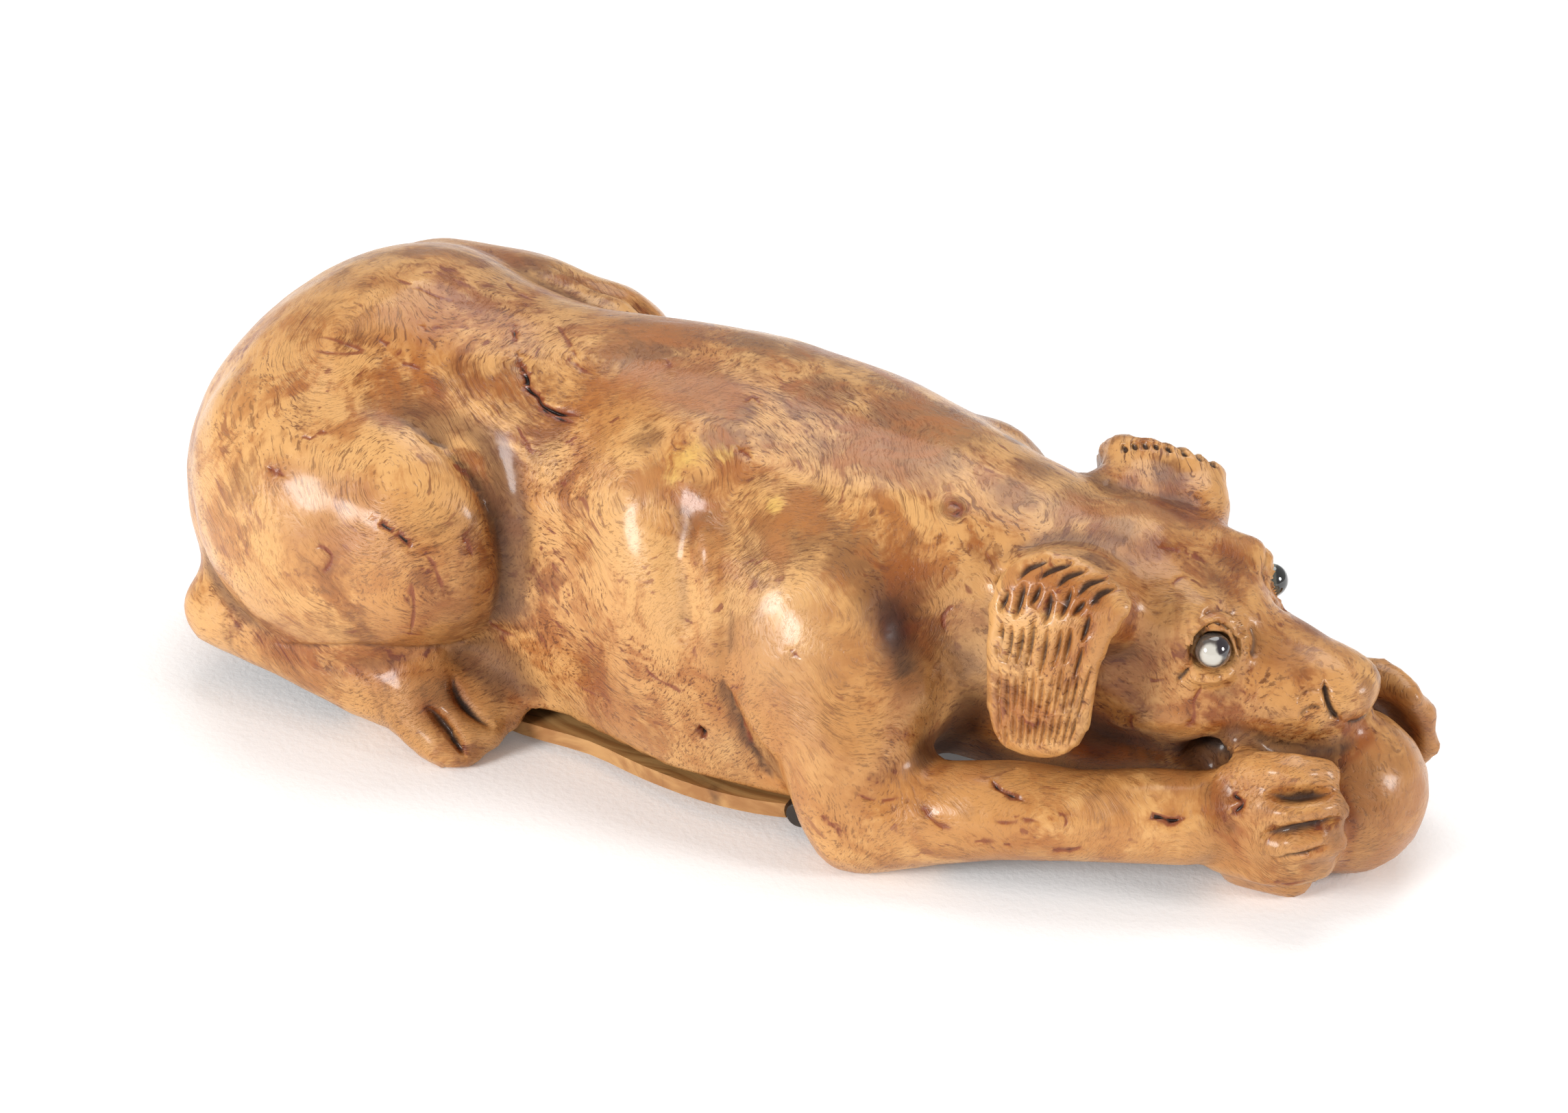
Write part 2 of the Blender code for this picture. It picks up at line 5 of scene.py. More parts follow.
import bmesh
import bpy
import numpy as np
from mathutils import Matrix, Vector
from mathutils.bvhtree import BVHTree


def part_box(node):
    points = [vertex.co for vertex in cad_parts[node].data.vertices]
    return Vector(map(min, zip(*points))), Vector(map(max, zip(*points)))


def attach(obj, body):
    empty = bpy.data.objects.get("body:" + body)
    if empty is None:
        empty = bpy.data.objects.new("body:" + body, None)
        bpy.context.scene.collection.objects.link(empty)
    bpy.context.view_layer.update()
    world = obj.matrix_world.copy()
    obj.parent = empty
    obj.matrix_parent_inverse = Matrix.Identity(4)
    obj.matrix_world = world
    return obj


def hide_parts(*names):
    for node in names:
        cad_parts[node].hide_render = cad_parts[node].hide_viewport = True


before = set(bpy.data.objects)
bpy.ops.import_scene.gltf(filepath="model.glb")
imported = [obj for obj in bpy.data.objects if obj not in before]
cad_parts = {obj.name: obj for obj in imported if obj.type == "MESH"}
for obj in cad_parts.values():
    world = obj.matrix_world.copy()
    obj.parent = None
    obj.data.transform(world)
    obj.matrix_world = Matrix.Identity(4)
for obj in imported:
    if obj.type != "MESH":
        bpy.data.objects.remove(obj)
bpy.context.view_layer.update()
mm = 0.001
middleY = -0.262 * mm  # the dog's own middle plane
print("frame loaded")

# The camera comes first, because the marks of the wood are placed through it.
photoView = {
    "place": (0.14875, -0.32091, 0.22235),
    "turn": (60.0, 0.0, 25.0),
    "lens": 100.0,
    "sensor": 36.0,
    "wide": 2288,
    "high": 1624,
}


def makeCamera(settings):
    data = bpy.data.cameras.new("photoCamera")
    data.lens = settings["lens"]
    data.sensor_width = settings["sensor"]
    data.clip_start = 0.01
    data.clip_end = 20.0
    made = bpy.data.objects.new("photoCamera", data)
    made.location = settings["place"]
    made.rotation_euler = [math.radians(a) for a in settings["turn"]]
    bpy.context.scene.collection.objects.link(made)
    bpy.context.scene.camera = made
    bpy.context.view_layer.update()
    return made


camera = makeCamera(photoView)
# how far apart two pixels lie, one metre in front of the eye
pixelSpan = photoView["sensor"] / photoView["lens"] / photoView["wide"]


def sightLine(u, v):
    # eye point and direction through a point of the picture
    local = Vector(((u - photoView["wide"] / 2) * pixelSpan, (photoView["high"] / 2 - v) * pixelSpan, -1.0))
    way = camera.matrix_world.to_3x3() @ local
    return camera.matrix_world.translation.copy(), way.normalized()


def seenAt(point):
    # where a point of the dog shows in the picture
    local = camera.matrix_world.inverted() @ Vector(point)
    u = photoView["wide"] / 2 + local.x / -local.z / pixelSpan
    v = photoView["high"] / 2 - local.y / -local.z / pixelSpan
    return u, v


# Mesh helpers: co holds the points, ed the two ends of each edge, no the normals
def readMesh(mesh):
    co = np.empty(len(mesh.vertices) * 3, np.float32)
    mesh.vertices.foreach_get("co", co)
    ed = np.empty(len(mesh.edges) * 2, np.int32)
    mesh.edges.foreach_get("vertices", ed)
    return co.reshape(-1, 3).astype(np.float64), ed.reshape(-1, 2)


def pointNormals(mesh):
    no = np.empty(len(mesh.vertices) * 3, np.float32)
    mesh.vertex_normals.foreach_get("vector", no)
    return no.reshape(-1, 3).astype(np.float64)


def writeMesh(mesh, co):
    mesh.vertices.foreach_set("co", co.astype(np.float32).ravel())
    mesh.update()


def neighbourMean(values, ed, count):
    n = len(values)
    out = np.empty_like(values)
    for k in range(values.shape[1]):
        s = np.bincount(ed[:, 0], weights=values[ed[:, 1], k], minlength=n)
        s += np.bincount(ed[:, 1], weights=values[ed[:, 0], k], minlength=n)
        out[:, k] = s / count
    return out


def neighbourCount(ed, n):
    return np.maximum(np.bincount(ed.ravel(), minlength=n), 1).astype(float)


def evened(co, ed, rounds, weight):
    # in and out again, so that the form keeps its size
    out = co.copy()
    count = neighbourCount(ed, len(co))
    for _ in range(rounds):
        for share in (0.5, -0.46):
            out += (neighbourMean(out, ed, count) - out) * (share * weight)[:, None]
    return out


def copyOf(node, name, straighten=0.0):
    # a welded copy of a solid; straighten (degrees) leaves out edges between nearly level faces
    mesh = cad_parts[node].data.copy()
    mesh.materials.clear()
    piece = bpy.data.objects.new(name, mesh)
    bpy.context.scene.collection.objects.link(piece)
    bm = bmesh.new()
    bm.from_mesh(mesh)
    bmesh.ops.remove_doubles(bm, verts=bm.verts, dist=1e-6)
    if straighten > 0:
        bmesh.ops.dissolve_limit(bm, angle_limit=math.radians(straighten), verts=bm.verts, edges=bm.edges)
    bm.to_mesh(mesh)
    bm.free()
    return piece


def skinOf(node, name, voxel):
    # one even skin over a solid
    piece = copyOf(node, name)
    solid = piece.data
    skin = piece.modifiers.new("skin", "REMESH")
    skin.mode = "VOXEL"
    skin.voxel_size = voxel
    depsgraph = bpy.context.evaluated_depsgraph_get()
    made = bpy.data.meshes.new_from_object(piece.evaluated_get(depsgraph))
    piece.modifiers.clear()
    piece.data = made
    made.name = name
    bpy.data.meshes.remove(solid)
    return piece


def curveThrough(points, steps=6):
    # smooth line through a few points
    rows = [np.array(p, float) for p in points]
    if len(rows) < 3:
        return [rows[0] + (rows[-1] - rows[0]) * k / steps for k in range(steps + 1)]
    line = []
    last = len(rows) - 1
    for i in range(last):
        a, b, c, d = rows[max(i - 1, 0)], rows[i], rows[i + 1], rows[min(i + 2, last)]
        for k in range(steps):
            t = k / steps
            line.append(0.5 * (2 * b + (c - a) * t + (2 * a - 5 * b + 4 * c - d) * t * t
                               + (3 * b - a - 3 * c + d) * t ** 3))
    line.append(rows[last])
    return line


def alongLine(co, line, reach):
    # points within reach of the line: which, how far, and how far along it (0 to 1)
    line = np.array(line)
    low = line.min(axis=0) - reach
    high = line.max(axis=0) + reach
    near = np.nonzero(((co > low) & (co < high)).all(axis=1))[0]
    if len(near) == 0:
        return near, np.zeros(0), np.zeros(0)
    p = co[near]
    best = np.full(len(near), 1e9)
    where = np.zeros(len(near))
    lengths = np.linalg.norm(np.diff(line, axis=0), axis=1)
    total = max(lengths.sum(), 1e-9)
    done = 0.0
    for a, b, length in zip(line[:-1], line[1:], lengths):
        ab = b - a
        t = np.clip(((p - a) @ ab) / max(ab @ ab, 1e-15), 0.0, 1.0)
        d = np.linalg.norm(p - (a + t[:, None] * ab), axis=1)
        closer = d < best
        best[closer] = d[closer]
        where[closer] = (done + t[closer] * length) / total
        done += length
    keep = best < reach
    return near[keep], best[keep], where[keep]


# The carved dog
dogForm = {
    "voxel": 0.80 * mm,
    "rounds": 9,
    "crispBelow": 3.9 * mm,  # the rim of the box stays as cut
    "crispFade": 1.6 * mm,
    "leap": 4 * mm,  # a point further on than this has fallen behind an edge
    "refine": ((0.30 * mm, 0.65 * mm), (0.10 * mm, 0.6 * mm), (0.05 * mm, 0.34 * mm)),  # band, widest cut
    "flatBelow": 1.0 * mm,  # no knife marks on the soles
    "flatFade": 2.0 * mm,
    "lidAxle": (9.076 * mm, -0.262 * mm, 2.55 * mm),
    "lidShut": -1.9,  # degrees from the lid's place in the photograph
    "lidRoom": 0.68 * mm,
    "seatHigh": 4.5 * mm,  # the lid's seat lies below this and behind seatFront
    "seatFront": 12.0 * mm,
    "rim": (1.5 * mm, 6.0 * mm),  # where shade is painted on what faces down
    "hollowRounds": 60,
    "hollowDepth": 0.55 * mm,
}
dog = skinOf("dog", "dogCarving", dogForm["voxel"])
co, ed = readMesh(dog.data)
ease = np.clip((co[:, 2] - dogForm["crispBelow"]) / dogForm["crispFade"], 0.2, 1.0)
writeMesh(dog.data, evened(co, ed, dogForm["rounds"], ease))
print("dog skin", len(dog.data.polygons), "faces")

surface = BVHTree.FromObject(dog, bpy.context.evaluated_depsgraph_get())


def onDog(u, v):
    start, way = sightLine(u, v)
    hit = surface.ray_cast(start, way)
    return None if hit[0] is None else np.array(hit[0])


def acrossDog(point):
    # the same place on the dog's other side
    other = Vector((point[0], 2 * middleY - point[1], point[2]))
    return np.array(surface.find_nearest(other)[0])


def lineOnDog(pixels, steps=5):
    found = [onDog(*p) for p in curveThrough(pixels, steps)]
    line = [p for p in found if p is not None]
    kept = line[:1]
    for p in line[1:]:
        if np.linalg.norm(p - kept[-1]) < dogForm["leap"]:
            kept.append(p)
    return kept


# Soft swellings and dents. Each: place in the picture, size mm, height mm, both sides
swells = {
    "nosePad": ((1968, 1022), 2.3, 0.45, True),
    "lipRoll": ((1905, 1042), 2.0, 0.35, True),
    "cheek": ((1700, 1010), 5.0, 0.25, True),
    "browBone": ((1838, 885), 2.6, 0.35, False),
    "temple": ((1690, 850), 3.6, -0.25, True),
    "shoulderBlade": ((1120, 735), 6.0, 0.35, True),
    "waistDip": ((800, 830), 7.0, -0.45, True),
    "neckHollow": ((1318, 925), 5.2, -0.9, True),
    "wristDip": ((1755, 1190), 3.2, -0.35, True),
    "forearmDent": ((1560, 1130), 3.0, -0.30, True),
    "forearmSwell": ((1440, 1190), 4.0, 0.25, True),
    "heelSwell": ((590, 1030), 2.6, 0.40, True),
    "pit": ((1024, 1070), 0.45, -0.60, False),
    "jawHole": ((1766, 1108), 2.2, -1.5, True),
    "throatDip": ((1600, 1088), 3.0, -0.8, True),
    "goldDent": ((985, 668), 1.2, -0.22, False),
    "goldLump": ((1018, 662), 1.4, 0.18, False),
    "eyeletDent": ((1128, 744), 0.8, -0.25, False),
    "eyeletRim": ((1112, 728), 1.3, 0.22, False),
}

# Cuts of the knife. Width and depth in mm (a depth below nothing stands up), dark 0 to 1 (painted shade in
# the cut), and points in the picture. Each is cut on both sides of the dog.
cuts = {
    "haunchFold": (0.70, 0.60, 0.5, [(550, 598), (600, 618), (650, 652), (690, 698), (720, 750),
                                     (735, 800), (736, 850), (726, 892), (700, 924)]),
    "haunchUnder": (0.60, 0.40, 0.45, [(700, 926), (650, 944), (590, 948), (520, 945), (450, 946),
                                       (395, 936)]),
    "armpit": (0.75, 0.75, 0.6, [(1042, 972), (1052, 1000), (1072, 1046), (1090, 1088), (1118, 1132),
                                 (1150, 1172)]),
    "armEdge": (1.20, -0.45, 0.0, [(1070, 960), (1086, 1010), (1108, 1060), (1136, 1110)]),
    "armCrease": (0.80, 0.45, 0.35, [(1046, 790), (1057, 860), (1062, 930), (1060, 985)]),
    "ribRidge": (1.60, -0.80, 0.0, [(1020, 750), (1032, 850), (1036, 940), (1046, 1010)]),
    "ribGroove": (2.60, 0.80, 0.1, [(985, 690), (990, 790), (1002, 900), (1010, 960)]),
    "ribSwell": (4.00, -0.40, 0.0, [(890, 620), (908, 760), (905, 900)]),
    "neckCrease": (2.30, 0.15, 0.62, [(1284, 840), (1304, 890), (1318, 950), (1336, 1016)]),
    "nostril": (0.34, 0.60, 1.0, [(1932, 990), (1936, 1018), (1944, 1038), (1957, 1051)]),
    "underNose": (0.34, 0.30, 0.7, [(1957, 1052), (1980, 1052), (1998, 1040), (2008, 1018)]),
    "jawHole": (1.05, 1.4, 1.0, [(1722, 1104), (1745, 1098), (1775, 1100), (1800, 1110)]),
    "jawEdge": (0.8, -0.3, 0.0, [(1600, 1050), (1650, 1056), (1700, 1050), (1760, 1056)]),
    "lip": (0.28, 0.28, 0.6, [(1893, 1048), (1905, 1034), (1920, 1030), (1932, 1036)]),
    "lipFold": (0.9, -0.35, 0.0, [(1900, 1066), (1940, 1074), (1975, 1066)]),
    "lipRoll": (0.22, 0.25, 0.5, [(1893, 1030), (1900, 1012), (1918, 1006), (1930, 1014)]),
    "mouth": (0.70, 0.35, 0.6, [(1795, 1082), (1830, 1078), (1880, 1089), (1930, 1094), (1970, 1087),
                                (1998, 1072)]),
    "eyeFold": (0.45, 0.35, 0.6, [(1820, 905), (1832, 932), (1826, 966)]),
    "toeGapUpper": (0.60, 0.95, 0.85, [(1846, 1157), (1881, 1163), (1915, 1160), (1946, 1157)]),
    "toeGapMiddle": (0.60, 0.95, 0.85, [(1838, 1220), (1881, 1214), (1919, 1207), (1958, 1194)]),
    "toeGapLower": (0.45, 0.60, 0.7, [(1856, 1257), (1900, 1249), (1938, 1233)]),
    "toeUpper": (0.9, -0.45, 0.0, [(1830, 1128), (1880, 1130), (1925, 1140)]),
    "toeMiddle": (0.75, -0.50, 0.0, [(1840, 1190), (1890, 1185), (1952, 1177)]),
    "toeLower": (0.8, -0.40, 0.0, [(1860, 1236), (1900, 1230), (1946, 1217)]),
    "hindGapOuter": (0.50, 1.00, 0.85, [(622, 1030), (648, 1058), (668, 1083), (680, 1106)]),
    "hindGapInner": (0.62, 1.00, 0.85, [(660, 988), (671, 1017), (697, 1046), (722, 1062)]),
    "hindToe": (0.8, -0.35, 0.0, [(640, 1024), (668, 1058), (694, 1100)]),
}

# Splits and veins of the wood, in the same way, on the near side alone
cracks = {
    "flank": (0.24, 0.60, 1.0, [(752, 504), (758, 528), (768, 550), (770, 566), (784, 578), (790, 590),
                                (808, 600), (822, 604), (842, 606), (858, 615)]),
    "flankUpper": (0.19, 0.15, 0.8, [(750, 470), (752, 506)]),
    "flankLower": (0.22, 0.25, 0.8, [(780, 584), (796, 600), (820, 612), (844, 618)]),
    "pit": (0.30, 0.30, 1.0, [(1016, 1062), (1024, 1070), (1026, 1080)]),
    "veinBelly": (0.19, 0.08, 0.5, [(935, 960), (950, 985), (985, 1005), (1015, 1025)]),
    "veinBellyLow": (0.16, 0.06, 0.45, [(830, 985), (850, 1005), (880, 1018)]),
    "veinBack": (0.22, 0.10, 0.5, [(808, 466), (830, 500), (846, 530)]),
    "veinBackLow": (0.19, 0.08, 0.5, [(970, 520), (985, 545)]),
    "splitNeck": (0.22, 0.12, 0.6, [(1395, 880), (1378, 900), (1382, 925)]),
    "haunch": (0.18, 0.25, 0.9, [(540, 750), (556, 765), (580, 780), (600, 797), (612, 802)]),
    "haunchVein": (0.21, 0.10, 0.5, [(592, 830), (600, 855), (604, 890), (598, 930)]),
    "cheek": (0.19, 0.12, 0.5, [(1644, 985), (1680, 992), (1712, 987)]),
    "jaw": (0.19, 0.12, 0.5, [(1745, 988), (1753, 1000), (1742, 1022), (1742, 1045), (1726, 1070)]),
    "jawShort": (0.18, 0.10, 0.5, [(1658, 1032), (1650, 1050), (1655, 1072)]),
    "forearm": (0.22, 0.35, 0.8, [(1444, 1135), (1458, 1152), (1480, 1163), (1500, 1172)]),
    "forearmKnot": (0.24, 0.40, 1.0, [(1672, 1198), (1688, 1192), (1712, 1198), (1734, 1192)]),
    "forearmLow": (0.22, 0.15, 0.7, [(1530, 1240), (1560, 1241), (1582, 1234)]),
    "forearmVein": (0.16, 0.08, 0.45, [(1400, 1228), (1440, 1226), (1480, 1232), (1520, 1226)]),
    "wrist": (0.22, 0.35, 0.9, [(1812, 1152), (1800, 1160), (1812, 1172), (1790, 1196)]),
    "armpit": (0.22, 0.15, 0.6, [(1060, 1000), (1078, 1040), (1098, 1105)]),
    "elbow": (0.21, 0.12, 0.5, [(1345, 1160), (1352, 1185), (1372, 1205), (1410, 1215)]),
    "elbowLow": (0.19, 0.10, 0.5, [(1190, 1180), (1215, 1205), (1240, 1222)]),
    "brow": (0.19, 0.10, 0.5, [(1675, 798), (1710, 800), (1745, 812), (1780, 832)]),
    "browLow": (0.18, 0.08, 0.5, [(1700, 862), (1722, 842), (1740, 840)]),
    "lidRim": (0.19, 0.12, 0.6, [(968, 1118), (1000, 1128), (1040, 1160)]),
    "backVein": (0.21, 0.08, 0.5, [(445, 500), (470, 492), (500, 500), (528, 512), (500, 516),
                                   (462, 512), (445, 500)]),
    "rumpVein": (0.19, 0.08, 0.5, [(560, 400), (600, 415), (650, 436), (700, 440)]),
    "rumpLow": (0.16, 0.06, 0.45, [(590, 400), (640, 398), (690, 420), (720, 432)]),
    "toeVein": (0.16, 0.08, 0.5, [(1850, 1285), (1880, 1290), (1910, 1284)]),
    "haunchSpot": (0.26, 0.15, 0.6, [(388, 680), (402, 688), (418, 696)]),
    "haunchMarks": (0.18, 0.10, 0.5, [(434, 628), (452, 640), (470, 630), (488, 644)]),
    "haunchCurl": (0.24, 0.10, 0.5, [(450, 806), (468, 798), (484, 812), (474, 832), (456, 828)]),
    "haunchEdge": (0.20, 0.14, 0.6, [(662, 674), (676, 684), (690, 698)]),
    "haunchKnee": (0.24, 0.14, 0.6, [(674, 782), (684, 796), (692, 816)]),
    "haunchLong": (0.22, 0.10, 0.5, [(612, 802), (630, 820), (642, 848), (650, 874)]),
    "rumpMark": (0.24, 0.12, 0.6, [(582, 530), (598, 532), (616, 540)]),
    "rumpDot": (0.20, 0.10, 0.6, [(552, 494), (562, 500), (572, 499)]),
    "spineVein": (0.24, 0.10, 0.5, [(736, 406), (750, 424), (770, 434), (786, 444)]),
    "hipVein": (0.18, 0.08, 0.45, [(606, 474), (632, 478), (660, 474)]),
    "kneePink": (0.30, 0.10, 0.45, [(712, 908), (734, 922), (758, 930)]),
    "backRed": (0.30, 0.08, 0.45, [(836, 524), (850, 540), (872, 548)]),
    "backGrey": (0.20, 0.15, 0.6, [(1084, 588), (1100, 578), (1110, 592)]),
    "shoulderRed": (0.20, 0.06, 0.45, [(1150, 945), (1160, 955), (1170, 962)]),
    "shoulderKnot": (0.26, 0.10, 0.7, [(1381, 742), (1390, 735), (1402, 742), (1394, 751), (1383, 748)]),
    "goldCut": (0.22, 0.20, 0.5, [(1075, 655), (1090, 664), (1098, 672)]),
    "armRed": (0.16, 0.06, 0.45, [(1240, 1150), (1262, 1164), (1290, 1168), (1330, 1160)]),
    "armRedLow": (0.22, 0.06, 0.45, [(1440, 1195), (1470, 1200), (1500, 1196), (1530, 1204)]),
    "forearmCurl": (0.16, 0.08, 0.5, [(1542, 1196), (1550, 1188), (1556, 1200), (1548, 1212)]),
}
carveLines = []  # line, width, depth, darkness (painted shade in a cut, the dark of a crack), how it tapers


def addCut(line, width, depth, dark, taper):
    if len(line) > 1:
        carveLines.append((line, width * mm, depth * mm, dark, taper))


def addBoth(line, width, depth, dark, taper):
    addCut(line, width, depth, dark, taper)
    addCut([acrossDog(p) for p in line], width, depth, dark, taper)


for name, (width, depth, dark, pixels) in cuts.items():
    addBoth(lineOnDog(pixels), width, depth, dark, "spindle" if "Gap" in name else "soft")
for width, depth, dark, pixels in cracks.values():
    addCut(lineOnDog(pixels), width, depth, dark, "crack")
print("cuts and cracks placed", len(carveLines))

# Ears: two rows of long gouges below a fan at the top, and short ones crowded together at the tip
earGouges = {
    # width and depth in mm, and the shade painted into each gouge
    "rows": {"fan": (0.40, 0.65, 1.0), "upper": (0.33, 0.62, 0.85), "middle": (0.29, 0.60, 0.68)},
    "fan": [
        [(1452, 854), (1469, 830), (1500, 814)], [(1484, 847), (1500, 827), (1533, 815)],
        [(1515, 845), (1535, 829), (1567, 820)], [(1540, 858), (1558, 839), (1588, 829)],
        [(1570, 872), (1588, 850), (1618, 840)], [(1590, 887), (1604, 866), (1630, 854)],
    ],
    "upper": [
        [(1457, 893), (1470, 860)], [(1480, 904), (1495, 848)], [(1503, 885), (1518, 852)],
        [(1524, 912), (1534, 862)], [(1546, 904), (1564, 856)], [(1564, 899), (1584, 875)],
        [(1578, 938), (1590, 896)],
    ],
    "middle": [
        [(1454, 955), (1462, 908)], [(1468, 968), (1476, 912)], [(1483, 970), (1493, 914)],
        [(1498, 976), (1509, 902)], [(1517, 988), (1529, 916)], [(1536, 974), (1549, 918)],
        [(1552, 970), (1563, 916)], [(1567, 992), (1580, 944)],
    ],
    "tip": {
        "from": 970, "to": 1088, "left": (1449, 1452), "right": (1600, 1566), "columns": 11,
        "length": (44, 80), "cut": (0.24, 0.46, 0.5),
        "stagger": 20, "shortest": 12, "waver": 1.5, "overlap": 2.0,
    },
    "seed": 7,
    "farNotches": [  # on the far ear's upper edge
        (1640, 646), (1655, 642), (1671, 641), (1687, 642),
        (1706, 646), (1729, 652), (1751, 659), (1772, 669),
    ],
}


def gougeEar():
    rng = random.Random(earGouges["seed"])
    for name, (width, depth, dark) in earGouges["rows"].items():
        for pixels in earGouges[name]:
            addBoth(lineOnDog(pixels, 4), width, depth, dark, "spindle")
    tip = earGouges["tip"]
    for column in range(tip["columns"]):
        share = (column + 0.5) / tip["columns"]
        v = tip["from"] + rng.uniform(0, tip["stagger"])
        while v < tip["to"] - tip["shortest"]:
            end = min(v + rng.uniform(*tip["length"]), tip["to"])
            pixels = []
            for at in (v, (v + end) / 2, end):
                down = (at - tip["from"]) / (tip["to"] - tip["from"])
                left = tip["left"][0] + (tip["left"][1] - tip["left"][0]) * down
                right = tip["right"][0] + (tip["right"][1] - tip["right"][0]) * down
                pixels.append((left + (right - left) * share + rng.uniform(-tip["waver"], tip["waver"]), at))
            addBoth(lineOnDog(pixels, 3), *tip["cut"], "spindle")
            v = end + rng.uniform(-tip["overlap"], tip["overlap"])
    for u, v in earGouges["farNotches"]:
        addCut(lineOnDog([(u - 4, v + 3), (u + 4, v + 14)], 2), 0.34, 0.45, 1.0, "spindle")


gougeEar()
print("gouges placed", len(carveLines))

# Eyes: each bead sits in a sunk ring, under an arched lid with a fold above it. The lines are given
# in pixels from the middle of the near bead
lids = {
    # width and depth in mm, the shade painted into the fold, and the points
    "arch": (0.42, -0.85, 0.0, [(-43, 27), (-34, -2), (-20, -30), (-2, -46), (20, -46), (38, -24),
                                (47, 4), (46, 22)]),
    "underArch": (0.28, 0.50, 0.62, [(-36, 22), (-28, -4), (-15, -26), (0, -38), (17, -38), (31, -20),
                                     (38, 3), (37, 18)]),
    "innerLid": (0.26, -0.35, 0.0, [(-30, 16), (-25, -6), (-12, -24), (4, -30), (18, -28), (28, -12),
                                    (32, 6)]),
    "foldAbove": (0.40, 0.40, 0.5, [(-24, -38), (-2, -58), (24, -58), (47, -32)]),
    "lower": (0.42, -0.35, 0.0, [(-40, 32), (-18, 41), (12, 39), (36, 28)]),
    "corner": (0.32, 0.35, 0.75, [(-30, 22), (-43, 35), (-54, 46)]),
}
# painted shade round each bead, darker above where the lid overhangs; shading is how far it reaches in mm
beadRing = {"middle": 1.70, "width": 0.34, "depth": 0.40, "shading": 0.55, "up": (-0.21, 0.45, 0.87)}  # mm


def beadMiddle(side):
    low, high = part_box("eye_" + side)
    return np.array((low + high) / 2)


def carveEyes():
    near = beadMiddle("right")
    u0, v0 = seenAt(near)
    print("right eye seen at", round(u0), round(v0))
    shift = beadMiddle("left") - np.array((near[0], 2 * middleY - near[1], near[2]))
    for width, depth, dark, pixels in lids.values():
        line = lineOnDog([(u0 + x, v0 + y) for x, y in pixels], 4)
        addCut(line, width, depth, dark, "soft")
        mirror = []
        for p in line:
            flip = Vector((p[0] + shift[0], 2 * middleY - p[1] + shift[1], p[2] + shift[2]))
            mirror.append(np.array(surface.find_nearest(flip)[0]))
        addCut(mirror, width, depth * 0.5, dark, "soft")


carveEyes()


def refined(mesh, band, widest):
    # halve the edges near the finer cuts
    co = readMesh(mesh)[0]
    near = np.zeros(len(co), bool)
    for line, width, depth, dark, taper in carveLines:
        if width <= widest:
            near[alongLine(co, line, band + width * 1.3)[0]] = True
    bm = bmesh.new()
    bm.from_mesh(mesh)
    bm.verts.ensure_lookup_table()
    edges = [e for e in bm.edges if near[e.verts[0].index] and near[e.verts[1].index]]
    bmesh.ops.subdivide_edges(bm, edges=edges, cuts=1, use_grid_fill=True)
    many = [f for f in bm.faces if len(f.verts) > 4]
    bmesh.ops.triangulate(bm, faces=many)
    bm.to_mesh(mesh)
    bm.free()


for band, widest in dogForm["refine"]:
    refined(dog.data, band, widest)
triangles = sum(len(p.vertices) - 2 for p in dog.data.polygons)
print("dog refined", triangles, "triangles")


def swelling(co):
    rise = np.zeros(len(co))
    for place, size, height, both in swells.values():
        middle = onDog(*place)
        for point in ([middle, acrossDog(middle)] if both else [middle]):
            far = np.linalg.norm(co - point, axis=1) / (size * mm)
            rise += height * mm * np.exp(-far ** 2)
    return rise


def beadRings(co):
    # how deep the ring round each bead is sunk, and how much shade is painted on it, most under the lid
    sunk = np.zeros(len(co))
    shading = np.zeros(len(co))
    for side in ("right", "left"):
        middle = beadMiddle(side)
        far = np.linalg.norm(co - middle, axis=1) / mm - beadRing["middle"]
        sunk -= beadRing["depth"] * mm * np.exp(-(far / beadRing["width"]) ** 2)
        above = (co - middle) @ np.array(beadRing["up"]) / mm
        shade = np.clip(0.38 + 0.22 * above, 0.12, 0.60)
        shading = np.maximum(shading, shade * np.exp(-(far / beadRing["shading"]) ** 2))
    return sunk, shading


def thinned(taper, where, count):
    # how full a cut is along its length
    if taper == "spindle":
        return np.maximum(np.sin(math.pi * where), 0.0) ** 0.42
    ends = np.minimum(where, 1 - where)
    if taper == "crack":
        return np.clip(ends * 4, 0.15, 1.0) * (0.85 + 0.15 * np.sin(where * 17.0 + count))
    return np.clip(ends * 5, 0.0, 1.0)


def carved(co):
    # how far the cuts lower or lift each point, how much shade is painted into them, and where the cracks
    # run
    rise = np.zeros(len(co))
    shading = np.zeros(len(co))
    split = np.zeros(len(co))
    for line, width, depth, dark, taper in carveLines:
        which, far, where = alongLine(co, line, width * 2.6)
        size = thinned(taper, where, len(line))
        body = np.exp(-(far / (width * np.maximum(size, 0.2))) ** 2) * size
        if 0 < depth and width < 2 * mm:  # crossing cuts don't add up
            rise[which] = np.minimum(rise[which], -depth * body)
        else:
            rise[which] -= depth * body
        if taper == "crack":
            split[which] = np.maximum(split[which], dark * np.exp(-(far / (width * 1.1)) ** 2) * size)
        else:
            shading[which] = np.maximum(shading[which], dark * body)
    rise *= np.clip((co[:, 2] - dogForm["flatBelow"]) / dogForm["flatFade"], 0.0, 1.0)
    return rise, shading, split


def shutLid():
    # the lid as it lies when shut
    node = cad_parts["lid"]
    axle = Vector(dogForm["lidAxle"])
    turn = Matrix.Rotation(math.radians(dogForm["lidShut"]), 4, Vector((0.0, -1.0, 0.0)))
    place = Matrix.Translation(axle) @ turn @ Matrix.Translation(-axle) @ node.matrix_world
    points = [place @ v.co for v in node.data.vertices]
    return BVHTree.FromPolygons(points, [tuple(p.vertices) for p in node.data.polygons])


